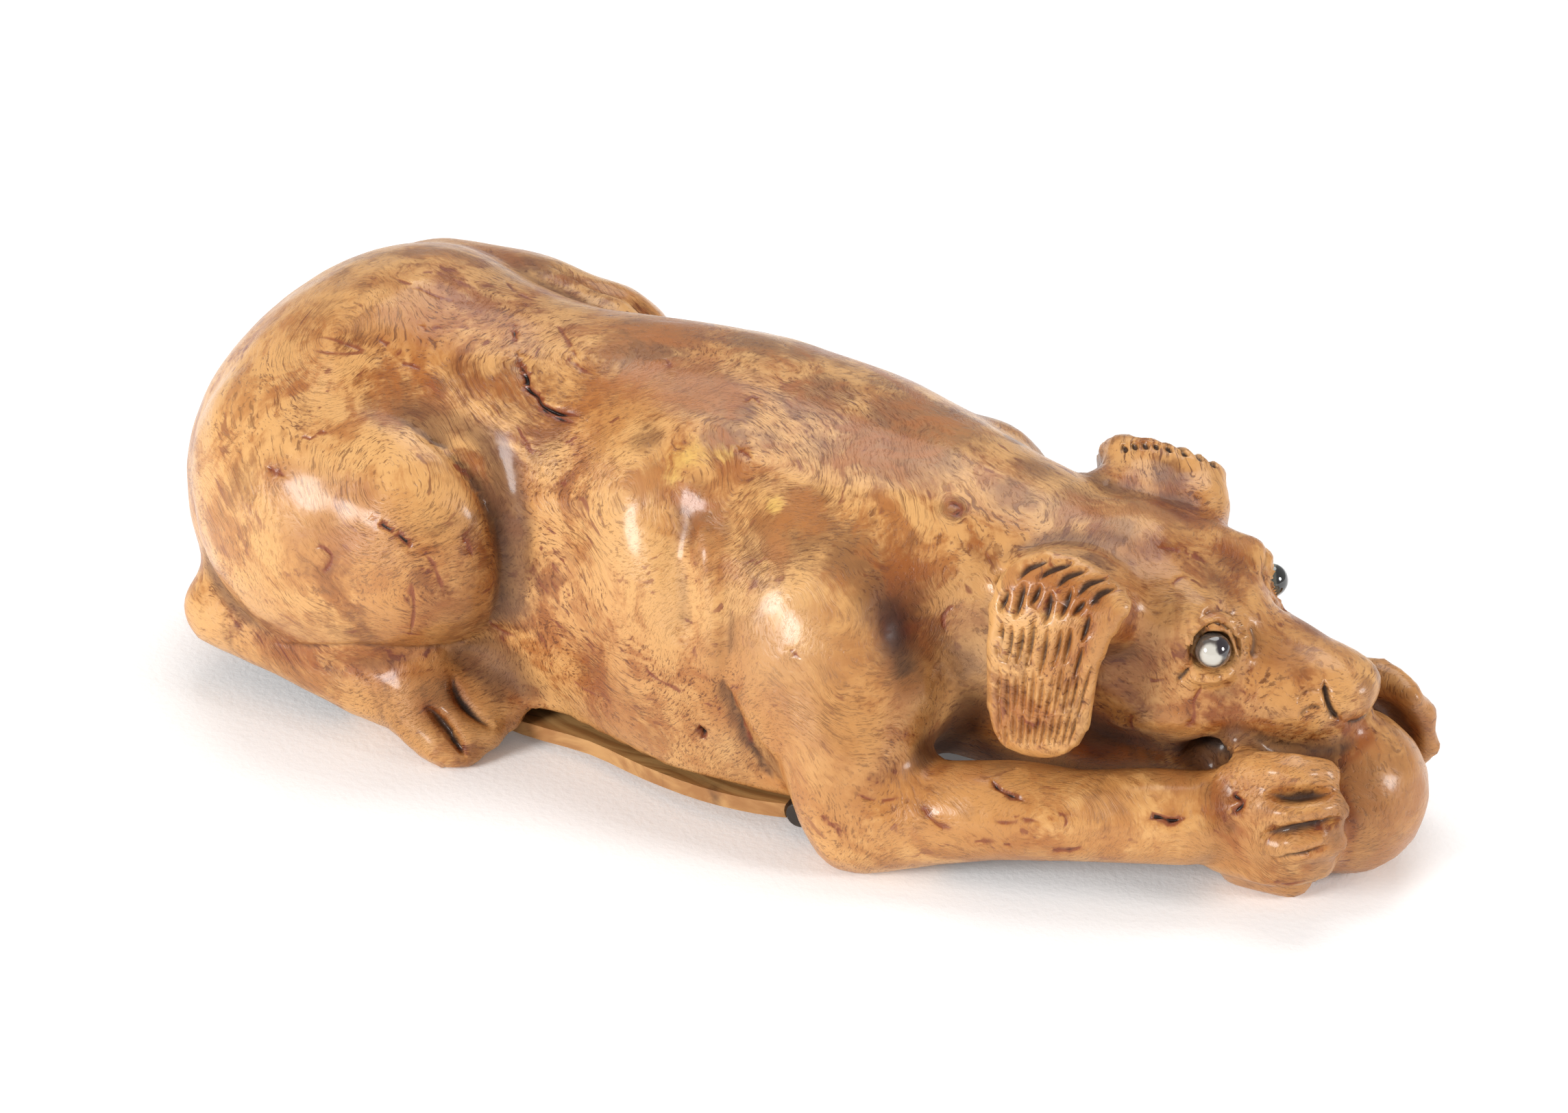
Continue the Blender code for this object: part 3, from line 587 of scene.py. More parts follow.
def leaveRoom(co, plate):
    # the wood keeps a little room round the shut lid
    room = dogForm["lidRoom"]
    seat = (co[:, 2] < dogForm["seatHigh"]) & (co[:, 0] < dogForm["seatFront"])
    for i in np.nonzero(seat)[0]:
        hit, way, which, far = plate.find_nearest(Vector(co[i]), 1.5 * mm)
        if hit is None:
            continue
        apart = (Vector(co[i]) - hit).dot(way)
        if apart < room and (apart < 0 or far < room):
            co[i] = np.array(hit + way * room)


def hollows(mesh):
    # hollows gather dark polish: how far each point lies below its neighbourhood, -1 to 1
    co, ed = readMesh(mesh)
    count = neighbourCount(ed, len(co))
    wide = co.copy()
    for _ in range(dogForm["hollowRounds"]):
        wide += (neighbourMean(wide, ed, count) - wide) * 0.6
    below = ((wide - co) * pointNormals(mesh)).sum(axis=1)
    return np.clip(below / dogForm["hollowDepth"], -1.0, 1.0)


def keepPaint(mesh, name, values):
    layer = mesh.attributes.new(name, "FLOAT", "POINT")
    layer.data.foreach_set("value", values.astype(np.float32))


def carveDog(mesh):
    co = readMesh(mesh)[0]
    mesh.update()
    no = pointNormals(mesh)
    sunk, ringShade = beadRings(co)
    rise, cutShade, split = carved(co)
    # shade painted into the cuts and round the beads
    paintedShade = np.maximum(ringShade, cutShade)
    co = co + no * (rise + swelling(co) + sunk)[:, None]
    leaveRoom(co, shutLid())
    writeMesh(mesh, co)
    # painted shade on what faces down around the rim, above the lid
    low, high = dogForm["rim"]
    facingDown = np.clip(-no[:, 2] - 0.5, 0.0, 0.5) * 2
    paintedShade = np.maximum(paintedShade, 0.85 * facingDown * (co[:, 2] > low) * (co[:, 2] < high))
    keepPaint(mesh, "paintedShade", paintedShade)
    keepPaint(mesh, "crack", split)
    keepPaint(mesh, "recess", hollows(mesh))
    mesh.shade_smooth()


carveDog(dog.data)
print("dog carved")


# Node helper: every step of a finish is one short line
class Finish:
    def __init__(self, name):
        self.material = bpy.data.materials.new(name)
        self.material.use_nodes = True
        self.tree = self.material.node_tree
        self.shader = self.tree.nodes["Principled BSDF"]
        self.at = self.add("ShaderNodeTexCoord").outputs["Object"]

    def add(self, kind, **settings):
        node = self.tree.nodes.new(kind)
        for key, value in settings.items():
            setattr(node, key, value)
        return node

    def feed(self, socket, value):
        if hasattr(value, "is_linked"):
            self.tree.links.new(value, socket)
        else:
            socket.default_value = value

    def noise(self, at, scale, detail=3.0, rough=0.5, bend=0.0):
        node = self.add("ShaderNodeTexNoise")
        self.feed(node.inputs["Vector"], at)
        node.inputs["Scale"].default_value = scale
        node.inputs["Detail"].default_value = detail
        node.inputs["Roughness"].default_value = rough
        node.inputs["Distortion"].default_value = bend
        return node.outputs["Fac"]

    def maths(self, kind, a, b=0.0, clamp=False):
        node = self.add("ShaderNodeMath", operation=kind, use_clamp=clamp)
        self.feed(node.inputs[0], a)
        self.feed(node.inputs[1], b)
        return node.outputs[0]

    def plus(self, a, b, clamp=False):
        return self.maths("ADD", a, b, clamp)

    def minus(self, a, b):
        return self.maths("SUBTRACT", a, b)

    def times(self, a, b, clamp=False):
        return self.maths("MULTIPLY", a, b, clamp)

    def larger(self, a, b):
        return self.maths("MAXIMUM", a, b)

    def vector(self, kind, a, b=(0.0, 0.0, 0.0), out="Vector"):
        node = self.add("ShaderNodeVectorMath", operation=kind)
        self.feed(node.inputs[0], a)
        self.feed(node.inputs[1], b)
        return node.outputs[out]

    def moved(self, at, by):
        return self.vector("ADD", at, by)

    def grown(self, at, by):
        node = self.add("ShaderNodeVectorMath", operation="SCALE")
        self.feed(node.inputs[0], at)
        self.feed(node.inputs["Scale"], by)
        return node.outputs["Vector"]

    def joined(self, x, y, z):
        node = self.add("ShaderNodeCombineXYZ")
        for socket, value in zip(node.inputs, (x, y, z)):
            self.feed(socket, value)
        return node.outputs[0]

    def apart(self, at):
        node = self.add("ShaderNodeSeparateXYZ")
        self.feed(node.inputs[0], at)
        return node.outputs

    def between(self, value, low, high, outLow=0.0, outHigh=1.0, smooth=True):
        node = self.add("ShaderNodeMapRange", interpolation_type="SMOOTHSTEP" if smooth else "LINEAR")
        self.feed(node.inputs["Value"], value)
        node.inputs["From Min"].default_value = low
        node.inputs["From Max"].default_value = high
        node.inputs["To Min"].default_value = outLow
        node.inputs["To Max"].default_value = outHigh
        return node.outputs["Result"]

    def blend(self, amount, under, over, kind="MIX"):
        node = self.add("ShaderNodeMix", data_type="RGBA", blend_type=kind)
        self.feed(node.inputs["Factor"], amount)
        for socket, value in ((node.inputs[6], under), (node.inputs[7], over)):
            self.feed(socket, (*value, 1.0) if isinstance(value, tuple) else value)
        return node.outputs[2]

    def paint(self, name):
        return self.add("ShaderNodeAttribute", attribute_name=name).outputs["Fac"]

    def bump(self, height, distance, strength=1.0, under=None):
        node = self.add("ShaderNodeBump")
        self.feed(node.inputs["Height"], height)
        node.inputs["Distance"].default_value = distance
        node.inputs["Strength"].default_value = strength
        if under is not None:
            self.feed(node.inputs["Normal"], under)
        return node.outputs["Normal"]


burr = {
    "pale": (0.62, 0.330, 0.118),
    "honey": (0.46, 0.200, 0.056),
    "tan": (0.34, 0.110, 0.023),
    "brown": (0.130, 0.037, 0.010),
    # the colour of the painted shade in the cuts, round the beads and under the rim
    "dark": (0.036, 0.016, 0.009),
    "black": (0.010, 0.005, 0.004),
    "rust": (0.20, 0.045, 0.016),
    "dust": (0.50, 0.33, 0.17),
    "smoke": (0.13, 0.052, 0.020),
    "gold": (0.72, 0.46, 0.12),
    "shade": (0.50, 0.295, 0.125),  # what the wood is multiplied by where it is deep in tone or painted into shade
    "roughness": (0.26, 0.44),
    "coat": 0.28,
    "coatRoughness": 0.17,
    "shine": 0.28,
    "flow": 20.0,  # size of the figure
    "strokes": 104.0,
    "share": {  # how strongly each thing shows
        "tan": 0.80, "eyes": 0.5, "brown": 0.62, "flecks": 0.85, "hairs": 0.80, "darkPatchesAndShade": 0.76,
        "golden": 0.85, "dust": 0.6, "hollows": 0.75, "ridges": 0.25, "paintedShade": 0.92,
        "crackEdge": 0.85, "crack": 0.96, "matt": 0.28,
    },
    "relief": {"facets": 0.35 * mm, "fibres": 0.10 * mm, "hairs": 0.05 * mm},
    "eyes": {  # burl eyes: place in the picture, size mm, how strongly the grain turns round it
        "gold": ((1010, 686), 6.5, 0.04), "goldLow": ((1128, 742), 5.0, 0.05),
        "shoulder": ((1388, 740), 2.0, 0.03), "rump": ((470, 505), 6.0, 0.05),
        "arm": ((1150, 870), 10.0, 0.07), "cheek": ((1640, 880), 4.0, 0.04),
        "belly": ((820, 820), 7.0, 0.05), "paw": ((1880, 1250), 4.0, 0.05),
    },
    "darkPatchesAndShade": {  # dark patches of the burl, and painted shade under the ear and head, on top of the forearm and behind the upper arm: place in the picture, size mm, strength
        "backOne": ((965, 486), 6.0, 0.85), "backTwo": ((1105, 500), 5.0, 0.8),
        "backThree": ((1185, 590), 4.5, 0.7), "withers": ((1350, 615), 7.5, 0.9),
        "withersLow": ((1290, 560), 4.5, 0.6), "crown": ((1665, 732), 2.2, 0.95),
        "goldRim": ((1060, 640), 4.2, 0.7), "goldSide": ((950, 700), 3.4, 0.6),
        "ribs": ((1030, 770), 3.6, 0.8), "blade": ((1180, 780), 4.5, 0.75),
        "bladeLow": ((1240, 810), 4.5, 0.8), "hollow": ((1300, 870), 4.6, 0.95),
        "hollowLow": ((1322, 950), 3.6, 0.95), "neck": ((1480, 720), 3.4, 0.75),
        "neckSide": ((1420, 800), 3.0, 0.5), "temple": ((1620, 775), 3.6, 0.7),
        "rump": ((575, 590), 4.6, 0.7), "waist": ((735, 560), 4.0, 0.6), "pit": ((1024, 1068), 0.8, 1.0),
        "knot": ((1392, 742), 1.5, 1.0), "waistLow": ((760, 785), 3.0, 0.55),
        "ball": ((2010, 1110), 6.5, 0.55), "ballLow": ((2030, 1240), 5.5, 0.5),
        "browLeft": ((1800, 820), 3.6, 0.65), "underEar": ((1640, 1105), 5.0, 0.85),
        "underHead": ((1560, 1105), 4.5, 0.8), "arm": ((1470, 1105), 4.0, 0.65),
        "elbow": ((1345, 1190), 3.0, 0.5), "flank": ((700, 690), 3.5, 0.5),
        "rumpTop": ((330, 500), 5.0, 0.4), "haunch": ((640, 890), 4.5, 0.5),
        "nose": ((1994, 1004), 1.3, 0.9), "noseLow": ((1992, 1030), 0.9, 0.9),
        "hindToes": ((730, 1000), 2.6, 0.8), "heel": ((640, 1010), 2.8, 0.6),
        "haunchKnee": ((716, 820), 4.0, 0.5), "upperLeft": ((430, 560), 5.0, 0.4),
        "backRear": ((820, 470), 5.0, 0.45), "muzzle": ((1900, 960), 4.0, 0.4),
        "jaw": ((1800, 1050), 4.0, 0.5), "cheek": ((1750, 880), 3.0, 0.5),
        "shank": ((480, 990), 4.0, 0.5), "knee": ((1120, 640), 3.0, 0.6),
        "neckTop": ((1560, 740), 4.0, 0.6), "skull": ((1720, 760), 3.4, 0.5),
        "skullSide": ((1600, 820), 3.0, 0.7), "muzzleTop": ((1930, 930), 3.6, 0.35),
        "chin": ((1860, 1065), 3.6, 0.55), "armTop": ((1380, 1090), 3.2, 0.7),
        "armTopTwo": ((1460, 1118), 3.0, 0.6), "armTopThree": ((1700, 1130), 2.8, 0.7),
        "wrist": ((1780, 1160), 2.4, 0.6), "goldLeft": ((945, 640), 2.6, 0.75),
        "goldUnder": ((1010, 730), 2.8, 0.8), "goldOver": ((1080, 600), 2.6, 0.75),
        "eyeletSide": ((1180, 730), 2.6, 0.75), "eyeletUnder": ((1160, 790), 2.8, 0.7),
        "bellyOne": ((860, 980), 4.0, 0.5), "armOne": ((1235, 1040), 3.6, 0.4),
        "armTwo": ((1160, 1090), 3.0, 0.35), "armThree": ((1290, 1120), 3.0, 0.5),
        "bellyTwo": ((960, 1080), 3.6, 0.55), "bellyThree": ((1080, 1130), 3.6, 0.5),
        "rib": ((870, 560), 3.6, 0.5), "spine": ((700, 440), 5.0, 0.45),
    },
    "golden": {  # clear yellow of the burl eyes
        "wide": ((1002, 668), 2.3, 0.62), "right": ((1058, 664), 1.6, 0.55),
        "small": ((1130, 738), 1.3, 0.75), "low": ((985, 690), 1.6, 0.55),
        "toe": ((1948, 1202), 0.9, 0.5),
    },
    "deepToneAndShade": {  # parts of the dog that are deeper in tone as a whole, and painted shade in the hollow behind the upper arm and under the head and jaw
        "skull": ((1660, 800), 7.0, 0.86), "brow": ((1780, 850), 5.0, 0.65),
        "face": ((1640, 930), 6.0, 0.65), "muzzle": ((1880, 960), 6.5, 0.90),
        "jaw": ((1780, 1040), 5.0, 0.60), "hindFoot": ((640, 1020), 7.5, 0.97),
        "hindHeel": ((560, 985), 5.0, 0.8), "hollow": ((1312, 915), 5.6, 1.0),
        "hollowLow": ((1330, 1000), 4.2, 1.0), "ball": ((2000, 1160), 9.0, 0.65),
        "neck": ((1460, 790), 6.0, 0.35), "spine": ((700, 480), 9.0, 0.25),
        "knee": ((680, 800), 7.0, 0.55), "gold": ((1040, 700), 6.0, 0.3),
        "paw": ((1850, 1200), 6.0, 0.35), "upperArm": ((1230, 1080), 6.0, 0.7),
        "belly": ((900, 1010), 9.0, 0.55), "rump": ((480, 480), 9.0, 0.3),
        "underHead": ((1600, 1090), 4.5, 1.0), "underJaw": ((1735, 1106), 3.6, 1.0),
        "armTop": ((1450, 1095), 3.2, 0.7), "farPaw": ((2080, 1040), 5.0, 0.6),
        "farEar": ((1700, 690), 5.0, 0.35), "shank": ((420, 960), 7.0, 0.6),
    },
    "rubbed": {  # rubbed or dusty places
        "breast": ((1425, 975), 4.8, 0.9), "breastTop": ((1410, 900), 3.5, 0.5),
        "armpit": ((1060, 1090), 2.6, 0.6), "hindWeb": ((712, 990), 1.6, 0.6),
        "rim": ((800, 1040), 2.2, 0.9), "gold": ((905, 760), 4.0, 0.4), "arm": ((1140, 930), 6.5, 0.6),
        "haunch": ((450, 730), 7.0, 0.35), "neck": ((1560, 700), 4.0, 0.4),
        "foldWeb": ((745, 880), 1.6, 0.7), "ballLow": ((1925, 1282), 2.2, 0.5),
    },
}


def placedSpots(rows):
    # the place on the wood, and its like on the far side
    made = []
    for place, *rest in rows.values():
        hit = onDog(*place)
        if hit is not None:
            made.append((hit, *rest))
            made.append((acrossDog(hit), *rest))
    return made


def spotPaint(co, rows):
    out = np.zeros(len(co))
    for place, size, strength in placedSpots(rows):
        far = np.linalg.norm(co - place, axis=1) / (size * mm)
        out = np.maximum(out, strength * np.exp(-far ** 2))
    return out


co = readMesh(dog.data)[0]
for paint, rows in (("darkPatchAndShade", "darkPatchesAndShade"), ("dusty", "rubbed"), ("golden", "golden"), ("deepToneAndShade", "deepToneAndShade")):
    keepPaint(dog.data, paint, spotPaint(co, burr[rows]))


def burrWood(look):
    f = Finish("burrWood")
    at = f.at
    share = look["share"]
    relief = look["relief"]
    # the figure: a soft field whose level lines the grain follows, with an eye at each burl
    wander = f.noise(at, look["flow"], 2.0, 0.45)
    second = f.noise(f.moved(at, (0.31, 0.17, 0.05)), look["flow"] * 3.1, 2.0, 0.5)
    field = f.plus(wander, f.times(second, 0.12))
    eyes = 0.0
    for place, size, turn in placedSpots(look["eyes"]):
        far = f.vector("DISTANCE", at, tuple(place), out="Value")
        swell = f.between(far, 0.0, size * mm, 1.0, 0.0)
        field = f.plus(field, f.times(swell, turn))
        eyes = f.larger(eyes, swell)
    slow = f.apart(f.grown(at, 330.0))
    along = f.plus(slow[0], slow[2])
    beside = f.minus(slow[1], slow[2])
    waver = f.times(f.noise(at, 190.0, 3.0, 0.6), 2.2)
    level = f.plus(f.times(field, look["strokes"]), waver)

    def fibres(turns, long, shift, scale):
        forward = f.plus(f.times(along, long), shift)
        return f.noise(f.joined(f.times(level, turns), forward, f.times(beside, long)), scale, 3.0, 0.6)

    coarse = fibres(2.2, 1.5, 0.0, 1.7)
    fine = fibres(3.6, 2.6, 7.0, 2.0)
    long = fibres(0.62, 0.9, 3.0, 1.1)
    hairs = f.larger(f.between(coarse, 0.41, 0.34), f.times(f.between(fine, 0.42, 0.34), 0.8))
    # broad colour
    broad = f.noise(at, 52.0, 5.0, 0.6, 0.5)
    mottle = f.noise(f.moved(at, (0.2, 0.5, 0.8)), 150.0, 7.0, 0.66, 0.8)
    cloud = f.noise(f.moved(at, (0.11, 0.42, 0.23)), 62.0, 6.0, 0.62, 0.7)
    speck = f.noise(at, 900.0, 4.0, 0.65)
    rag = f.plus(f.times(f.minus(mottle, 0.5), 0.9), f.times(f.minus(coarse, 0.5), -0.45))
    rag = f.plus(rag, f.times(f.minus(speck, 0.5), 0.35))
    rag = f.plus(rag, f.times(f.minus(long, 0.5), 0.35))

    def ragged(value, amount):
        # a border that frays along the grain
        return f.plus(value, f.times(rag, amount))

    colour = f.blend(f.between(ragged(broad, 0.40), 0.42, 0.58), look["pale"], look["honey"])
    colour = f.blend(f.between(ragged(mottle, 0.35), 0.46, 0.66, 0.0, share["tan"]), colour, look["tan"])
    colour = f.blend(f.between(eyes, 0.70, 0.97, 0.0, share["eyes"]), colour, look["pale"])
    colour = f.blend(f.between(ragged(cloud, 0.45), 0.54, 0.72, 0.0, share["brown"]), colour, look["brown"])
    # red-brown flecks drawn out along the grain
    flecks = f.between(ragged(long, 0.12), 0.63, 0.70)
    colour = f.blend(f.times(flecks, share["flecks"]), colour, look["rust"])
    # fine dark fibres, denser in some places than in others
    where = f.between(f.noise(f.moved(at, (0.7, 0.1, 0.9)), 80.0, 4.0, 0.6), 0.40, 0.60, 0.12, 1.0)
    hairShare = f.times(hairs, f.plus(where, f.times(f.paint("darkPatchAndShade"), 0.5)), True)
    colour = f.blend(f.times(hairShare, share["hairs"]), colour, look["brown"])
    # dark patches of the burl and painted shade, ragged by the grain
    darkPatchAndShade = ragged(f.paint("darkPatchAndShade"), 0.9)
    darkPatchAndShade = f.times(f.between(darkPatchAndShade, 0.25, 0.66), f.between(f.paint("darkPatchAndShade"), 0.02, 0.25))
    patchTone = f.blend(f.between(mottle, 0.40, 0.62), look["brown"], look["tan"])
    colour = f.blend(f.times(darkPatchAndShade, share["darkPatchesAndShade"]), colour, patchTone)
    golden = f.paint("golden")
    goldenAt = f.between(ragged(golden, -1.1), 0.25, 0.75, 0.0, share["golden"])
    colour = f.blend(f.times(goldenAt, f.between(golden, 0.05, 0.3)), colour, look["gold"])
    dusty = f.times(f.paint("dusty"), f.between(mottle, 0.3, 0.6, 0.45, 1.0), True)
    colour = f.blend(f.times(dusty, share["dust"]), colour, look["dust"])
    # whole parts that are deeper in tone, and painted shade in the deep hollows
    deepToneAndShade = f.paint("deepToneAndShade")
    tone = f.times(deepToneAndShade, f.between(ragged(cloud, 0.3), 0.30, 0.62, 0.6, 1.0))
    colour = f.blend(tone, colour, look["shade"], "MULTIPLY")
    # the deepest of these, the painted shade behind the upper arm and under the head, darkened again
    colour = f.blend(f.between(deepToneAndShade, 0.75, 1.0), colour, look["shade"], "MULTIPLY")
    # dark polish in the hollows, rubbed ridges
    recess = f.paint("recess")
    hollow = f.between(ragged(recess, 0.3), 0.10, 0.90)
    colour = f.blend(f.times(hollow, share["hollows"]), colour, look["smoke"])
    proud = f.between(recess, -0.25, -0.9)
    colour = f.blend(f.times(proud, share["ridges"]), colour, look["pale"])
    # painted shade in the cuts, round the beads and under the rim
    paintedShade = f.paint("paintedShade")
    colour = f.blend(f.between(ragged(paintedShade, 0.2), 0.30, 0.80, 0.0, share["paintedShade"]), colour, look["dark"])
    crack = f.paint("crack")
    colour = f.blend(f.between(crack, 0.12, 0.40, 0.0, share["crackEdge"]), colour, look["rust"])
    colour = f.blend(f.between(crack, 0.50, 0.80, 0.0, share["crack"]), colour, look["black"])
    f.feed(f.shader.inputs["Base Color"], colour)
    # worn polish
    gloss = f.noise(at, 260.0, 4.0, 0.6)
    rough = f.between(gloss, 0.3, 0.7, look["roughness"][0], look["roughness"][1], False)
    matt = f.larger(f.larger(paintedShade, hollow), f.between(deepToneAndShade, 0.80, 1.0, 0.0, 1.4))
    rough = f.plus(rough, f.times(matt, share["matt"]), True)
    f.feed(f.shader.inputs["Roughness"], rough)
    f.shader.inputs["Coat Weight"].default_value = look["coat"]
    f.shader.inputs["Coat Roughness"].default_value = look["coatRoughness"]
    f.shader.inputs["Specular IOR Level"].default_value = look["shine"]
    # relief: knife facets, then pores and fibres
    facets = f.noise(at, 150.0, 2.0, 0.5, 0.4)
    normal = f.bump(facets, relief["facets"], 0.5)
    normal = f.bump(f.plus(coarse, f.times(fine, 0.5)), relief["fibres"], 0.75, normal)
    normal = f.bump(f.minus(1.0, hairs), relief["hairs"], 0.6, normal)
    f.feed(f.shader.inputs["Normal"], normal)
    return f.material


dog.data.materials.append(burrWood(burr))
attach(dog, "box")
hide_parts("dog")
print("burr wood made")

# The lid, its plate worn and its edge eased
lidForm = {"edge": 0.28 * mm, "segments": 3}
plank = {
    "pale": (0.52, 0.28, 0.10),
    "tan": (0.34, 0.15, 0.045),
    "dark": (0.07, 0.028, 0.012),
    "roughness": (0.35, 0.6),
}


def easedCopy(node, name, edge, segments):
    # the solid with its edges eased
    piece = copyOf(node, name, 1.5)
    ease = piece.modifiers.new("ease", "BEVEL")
    ease.width = edge
    ease.segments = segments
    ease.limit_method = "ANGLE"
    ease.angle_limit = math.radians(40)
    piece.data.shade_smooth()
    piece.data.set_sharp_from_angle(angle=math.radians(50))
    return piece


def plankWood(look):
    f = Finish("lidWood")
    at = f.at
    x, y, z = f.apart(at)[:3]
    bent = f.noise(at, 30.0, 2.0, 0.5)
    across = f.plus(f.times(y, 900.0), f.times(bent, 16.0))
    grain = f.noise(f.joined(f.times(x, 60.0), across, f.times(z, 300.0)), 1.0, 5.0, 0.6)
    blot = f.noise(at, 95.0, 5.0, 0.6, 0.6)
    colour = f.blend(f.between(grain, 0.38, 0.62), look["pale"], look["tan"])
    colour = f.blend(f.between(blot, 0.52, 0.72, 0.0, 0.7), colour, look["dark"])
    pores = f.noise(f.joined(f.times(x, 180.0), f.times(y, 2600.0), z), 1.0, 2.0, 0.5)
    colour = f.blend(f.times(f.between(pores, 0.36, 0.28), 0.6), colour, look["dark"])
    f.feed(f.shader.inputs["Base Color"], colour)
    smoothest, roughest = look["roughness"]
    f.feed(f.shader.inputs["Roughness"], f.between(blot, 0.3, 0.7, smoothest, roughest, False))
    normal = f.bump(grain, 0.10 * mm, 0.5)
    f.feed(f.shader.inputs["Normal"], f.bump(blot, 0.3 * mm, 0.4, normal))
    return f.material


lid = easedCopy("lid", "lidPlate", lidForm["edge"], lidForm["segments"])
lid.data.materials.append(plankWood(plank))
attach(lid, "lid")
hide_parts("lid")

# The hinge barrel keeps its turned shape and gets a worn horn finish
horn = {
    "body": (0.022, 0.016, 0.012),
    "worn": (0.16, 0.10, 0.055),
    "roughness": (0.28, 0.5),
    "edge": 0.12 * mm,
    "segments": 2,
}


def hornFinish(look):
    f = Finish("darkHorn")
    x, y, z = f.apart(f.at)[:3]
    drawn = f.joined(f.times(x, 2000.0), f.times(y, 300.0), f.times(z, 2000.0))
    streak = f.noise(drawn, 1.0, 3.0, 0.6)
    blot = f.noise(f.at, 500.0, 4.0, 0.6)
    colour = f.blend(f.between(blot, 0.55, 0.75, 0.0, 0.6), look["body"], look["worn"])
    f.feed(f.shader.inputs["Base Color"], colour)
    smoothest, roughest = look["roughness"]
    f.feed(f.shader.inputs["Roughness"], f.between(streak, 0.3, 0.7, smoothest, roughest, False))
    f.feed(f.shader.inputs["Normal"], f.bump(streak, 0.05 * mm, 0.5))
    return f.material


hinge = easedCopy("hinge", "hingeBarrel", horn["edge"], horn["segments"])
hinge.data.materials.append(hornFinish(horn))
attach(hinge, "box")
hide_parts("hinge")
print("lid and hinge made")

# Glass beads: grey glass, milky where the bead faces out, dark where it looks up and forward
beads = {
    "right": {
        "glass": (0.075, 0.062, 0.052),
        "milk": (0.50, 0.47, 0.41), "milkWay": (0.20, -0.95, 0.18), "milkSize": 0.76,
        "spot": (0.016, 0.009, 0.012), "spotWay": (0.76, -0.30, 0.58), "spotSize": 0.84,
    },
    "left": {
        "glass": (0.10, 0.105, 0.085),
        "milk": (0.34, 0.35, 0.29), "milkWay": (-0.30, 0.50, 0.80), "milkSize": 0.80,
        "spot": (0.014, 0.014, 0.012), "spotWay": (0.86, 0.20, 0.30), "spotSize": 0.55,
    },
}


def beadGlass(name, look, middle):
    f = Finish(name)
    out = f.vector("NORMALIZE", f.vector("SUBTRACT", f.at, tuple(middle)))
    ripple = f.times(f.minus(f.noise(f.at, 900.0, 3.0, 0.6), 0.5), 0.22)
    haze = f.noise(f.at, 1400.0, 3.0, 0.6)

    def facing(way, size, soft):
        toward = f.vector("DOT_PRODUCT", out, tuple(Vector(way).normalized()), out="Value")
        return f.between(f.plus(toward, ripple), size - soft, size + soft)

    lighter = tuple(c * 1.8 for c in look["glass"])
    colour = f.blend(f.between(haze, 0.4, 0.7, 0.0, 0.4), look["glass"], lighter)
    colour = f.blend(facing(look["milkWay"], look["milkSize"], 0.09), colour, look["milk"])
    colour = f.blend(facing(look["spotWay"], look["spotSize"], 0.05), colour, look["spot"])
    f.feed(f.shader.inputs["Base Color"], colour)
    f.feed(f.shader.inputs["Roughness"], f.between(haze, 0.3, 0.7, 0.06, 0.16, False))
    f.shader.inputs["Coat Weight"].default_value = 1.0
    f.shader.inputs["Coat Roughness"].default_value = 0.03
    f.feed(f.shader.inputs["Normal"], f.bump(haze, 0.02 * mm, 0.3))
    return f.material


for side, look in beads.items():
    low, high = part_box("eye_" + side)
    middle = (low + high) / 2
    radius = (high.x - low.x) / 2
    bm = bmesh.new()
    bmesh.ops.create_icosphere(bm, subdivisions=5, radius=radius)
    for vertex in bm.verts:  # a hand-made bead: a little flat and uneven
        p = vertex.co / radius
        vertex.co *= 1.0 - 0.012 * math.sin(3.1 * p.x + 2.0 * p.z) ** 2 - 0.01 * p.y ** 2
        vertex.co += middle
    mesh = bpy.data.meshes.new("bead" + side.capitalize())
    bm.to_mesh(mesh)
    bm.free()
    mesh.shade_smooth()
    bead = bpy.data.objects.new("bead" + side.capitalize(), mesh)
    bpy.context.scene.collection.objects.link(bead)
    mesh.materials.append(beadGlass("beadGlass" + side.capitalize(), look, middle))
    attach(bead, "box")
    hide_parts("eye_" + side)
print("eyes made")

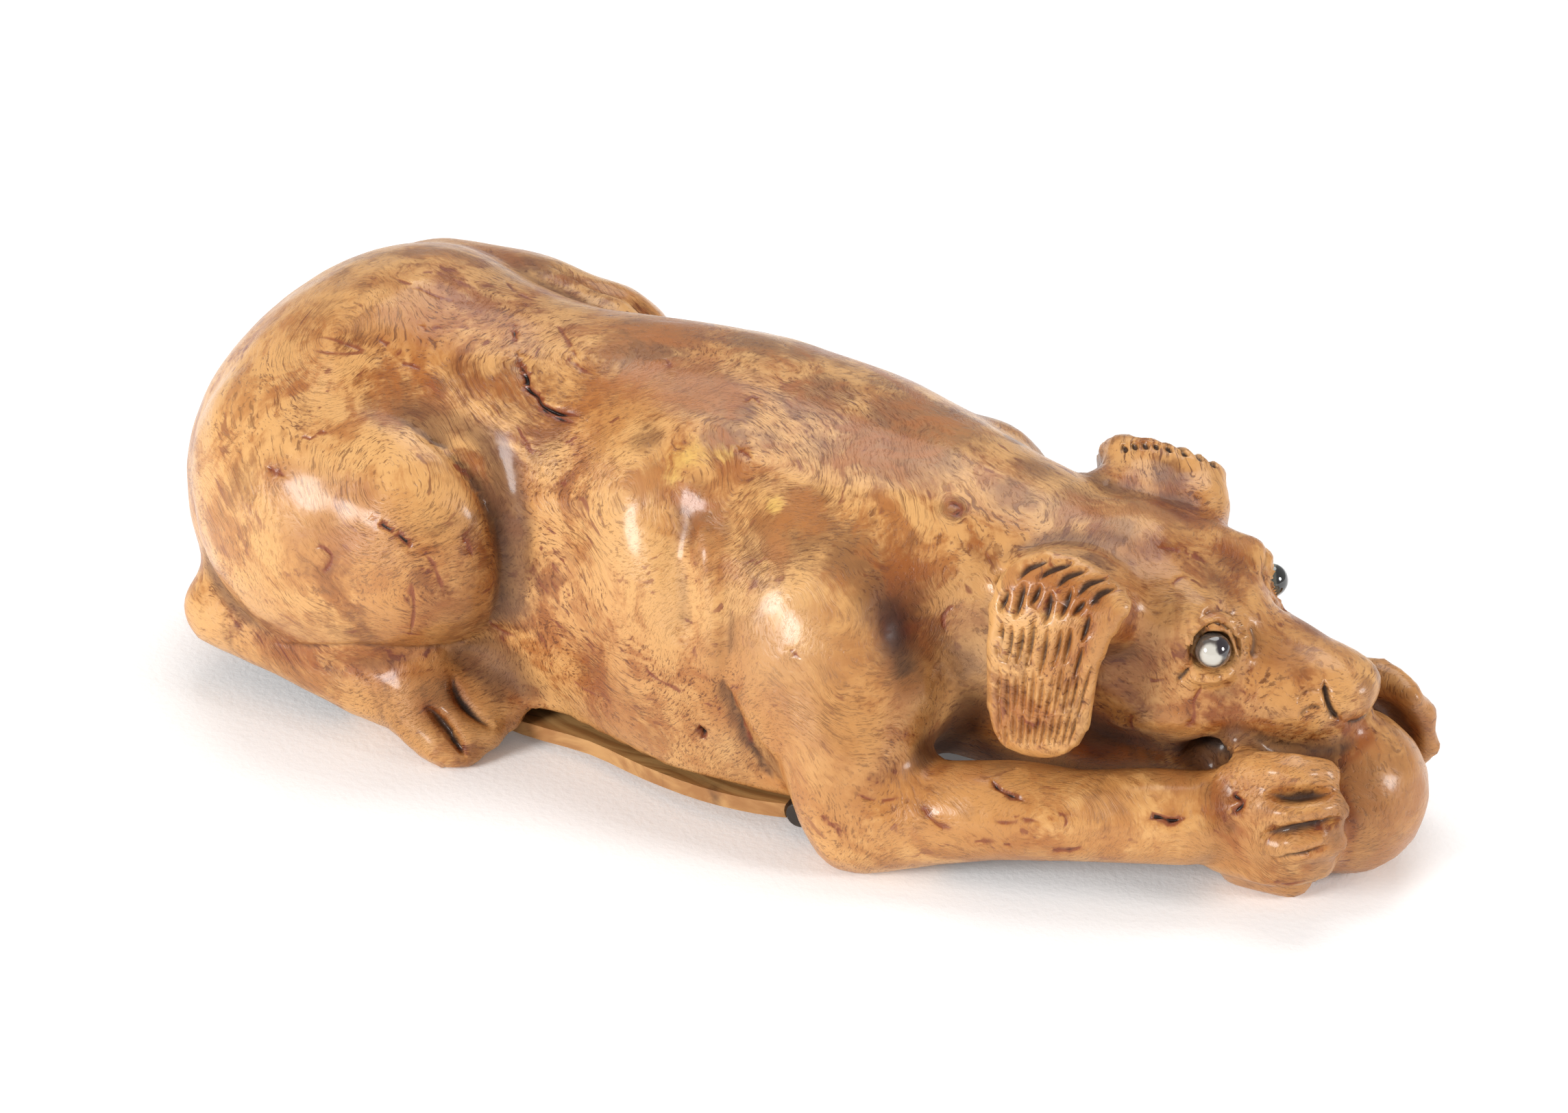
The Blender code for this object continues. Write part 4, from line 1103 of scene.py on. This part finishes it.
# Floor and light
studio = {
    "floor": (0.94, 0.94, 0.94),
    "speckle": (0.8, 0.79, 0.79),
    "glow": 0.09,  # the paper is lit a little from below
    "world": 0.42,
    "lamps": {  # place, target, size, watts
        "left": ((-0.34, -0.62, 0.27), (-0.01, 0.0, 0.02), 0.27, 5.2),
        "right": ((0.66, 0.02, 0.26), (0.04, 0.0, 0.015), 0.20, 2.5),
        "above": ((-0.06, 0.34, 0.66), (0.0, 0.10, 0.0), 0.60, 3.0),
    },
}


def makeStudio(look):
    bm = bmesh.new()
    bmesh.ops.create_grid(bm, x_segments=2, y_segments=2, size=3.0)
    mesh = bpy.data.meshes.new("paleFloor")
    bm.to_mesh(mesh)
    bm.free()
    floor = bpy.data.objects.new("paleFloor", mesh)
    bpy.context.scene.collection.objects.link(floor)
    f = Finish("paleFloor")
    weave = f.noise(f.at, 1500.0, 3.0, 0.6)
    colour = f.blend(f.between(weave, 0.3, 0.7, 0.0, 0.05), look["floor"], look["speckle"])
    f.feed(f.shader.inputs["Base Color"], colour)
    f.shader.inputs["Roughness"].default_value = 0.9
    f.shader.inputs["Specular IOR Level"].default_value = 0.2
    f.shader.inputs["Emission Color"].default_value = (1.0, 1.0, 1.0, 1.0)
    f.shader.inputs["Emission Strength"].default_value = look["glow"]
    f.feed(f.shader.inputs["Normal"], f.bump(weave, 0.15 * mm, 0.4))
    mesh.materials.append(f.material)
    world = bpy.data.worlds.new("softRoom")
    world.use_nodes = True
    back = world.node_tree.nodes["Background"]
    back.inputs["Color"].default_value = (1.0, 1.0, 1.0, 1.0)
    back.inputs["Strength"].default_value = look["world"]
    bpy.context.scene.world = world
    for name, (place, target, size, watts) in look["lamps"].items():
        data = bpy.data.lights.new("softLamp" + name.capitalize(), "AREA")
        data.shape = "DISK"
        data.size = size
        data.energy = watts
        lamp = bpy.data.objects.new("softLamp" + name.capitalize(), data)
        lamp.location = place
        lamp.rotation_euler = (Vector(target) - Vector(place)).to_track_quat("-Z", "Y").to_euler()
        bpy.context.scene.collection.objects.link(lamp)
    scene = bpy.context.scene
    scene.view_settings.view_transform = "Standard"
    scene.view_settings.look = "None"


makeStudio(studio)
print("studio made")
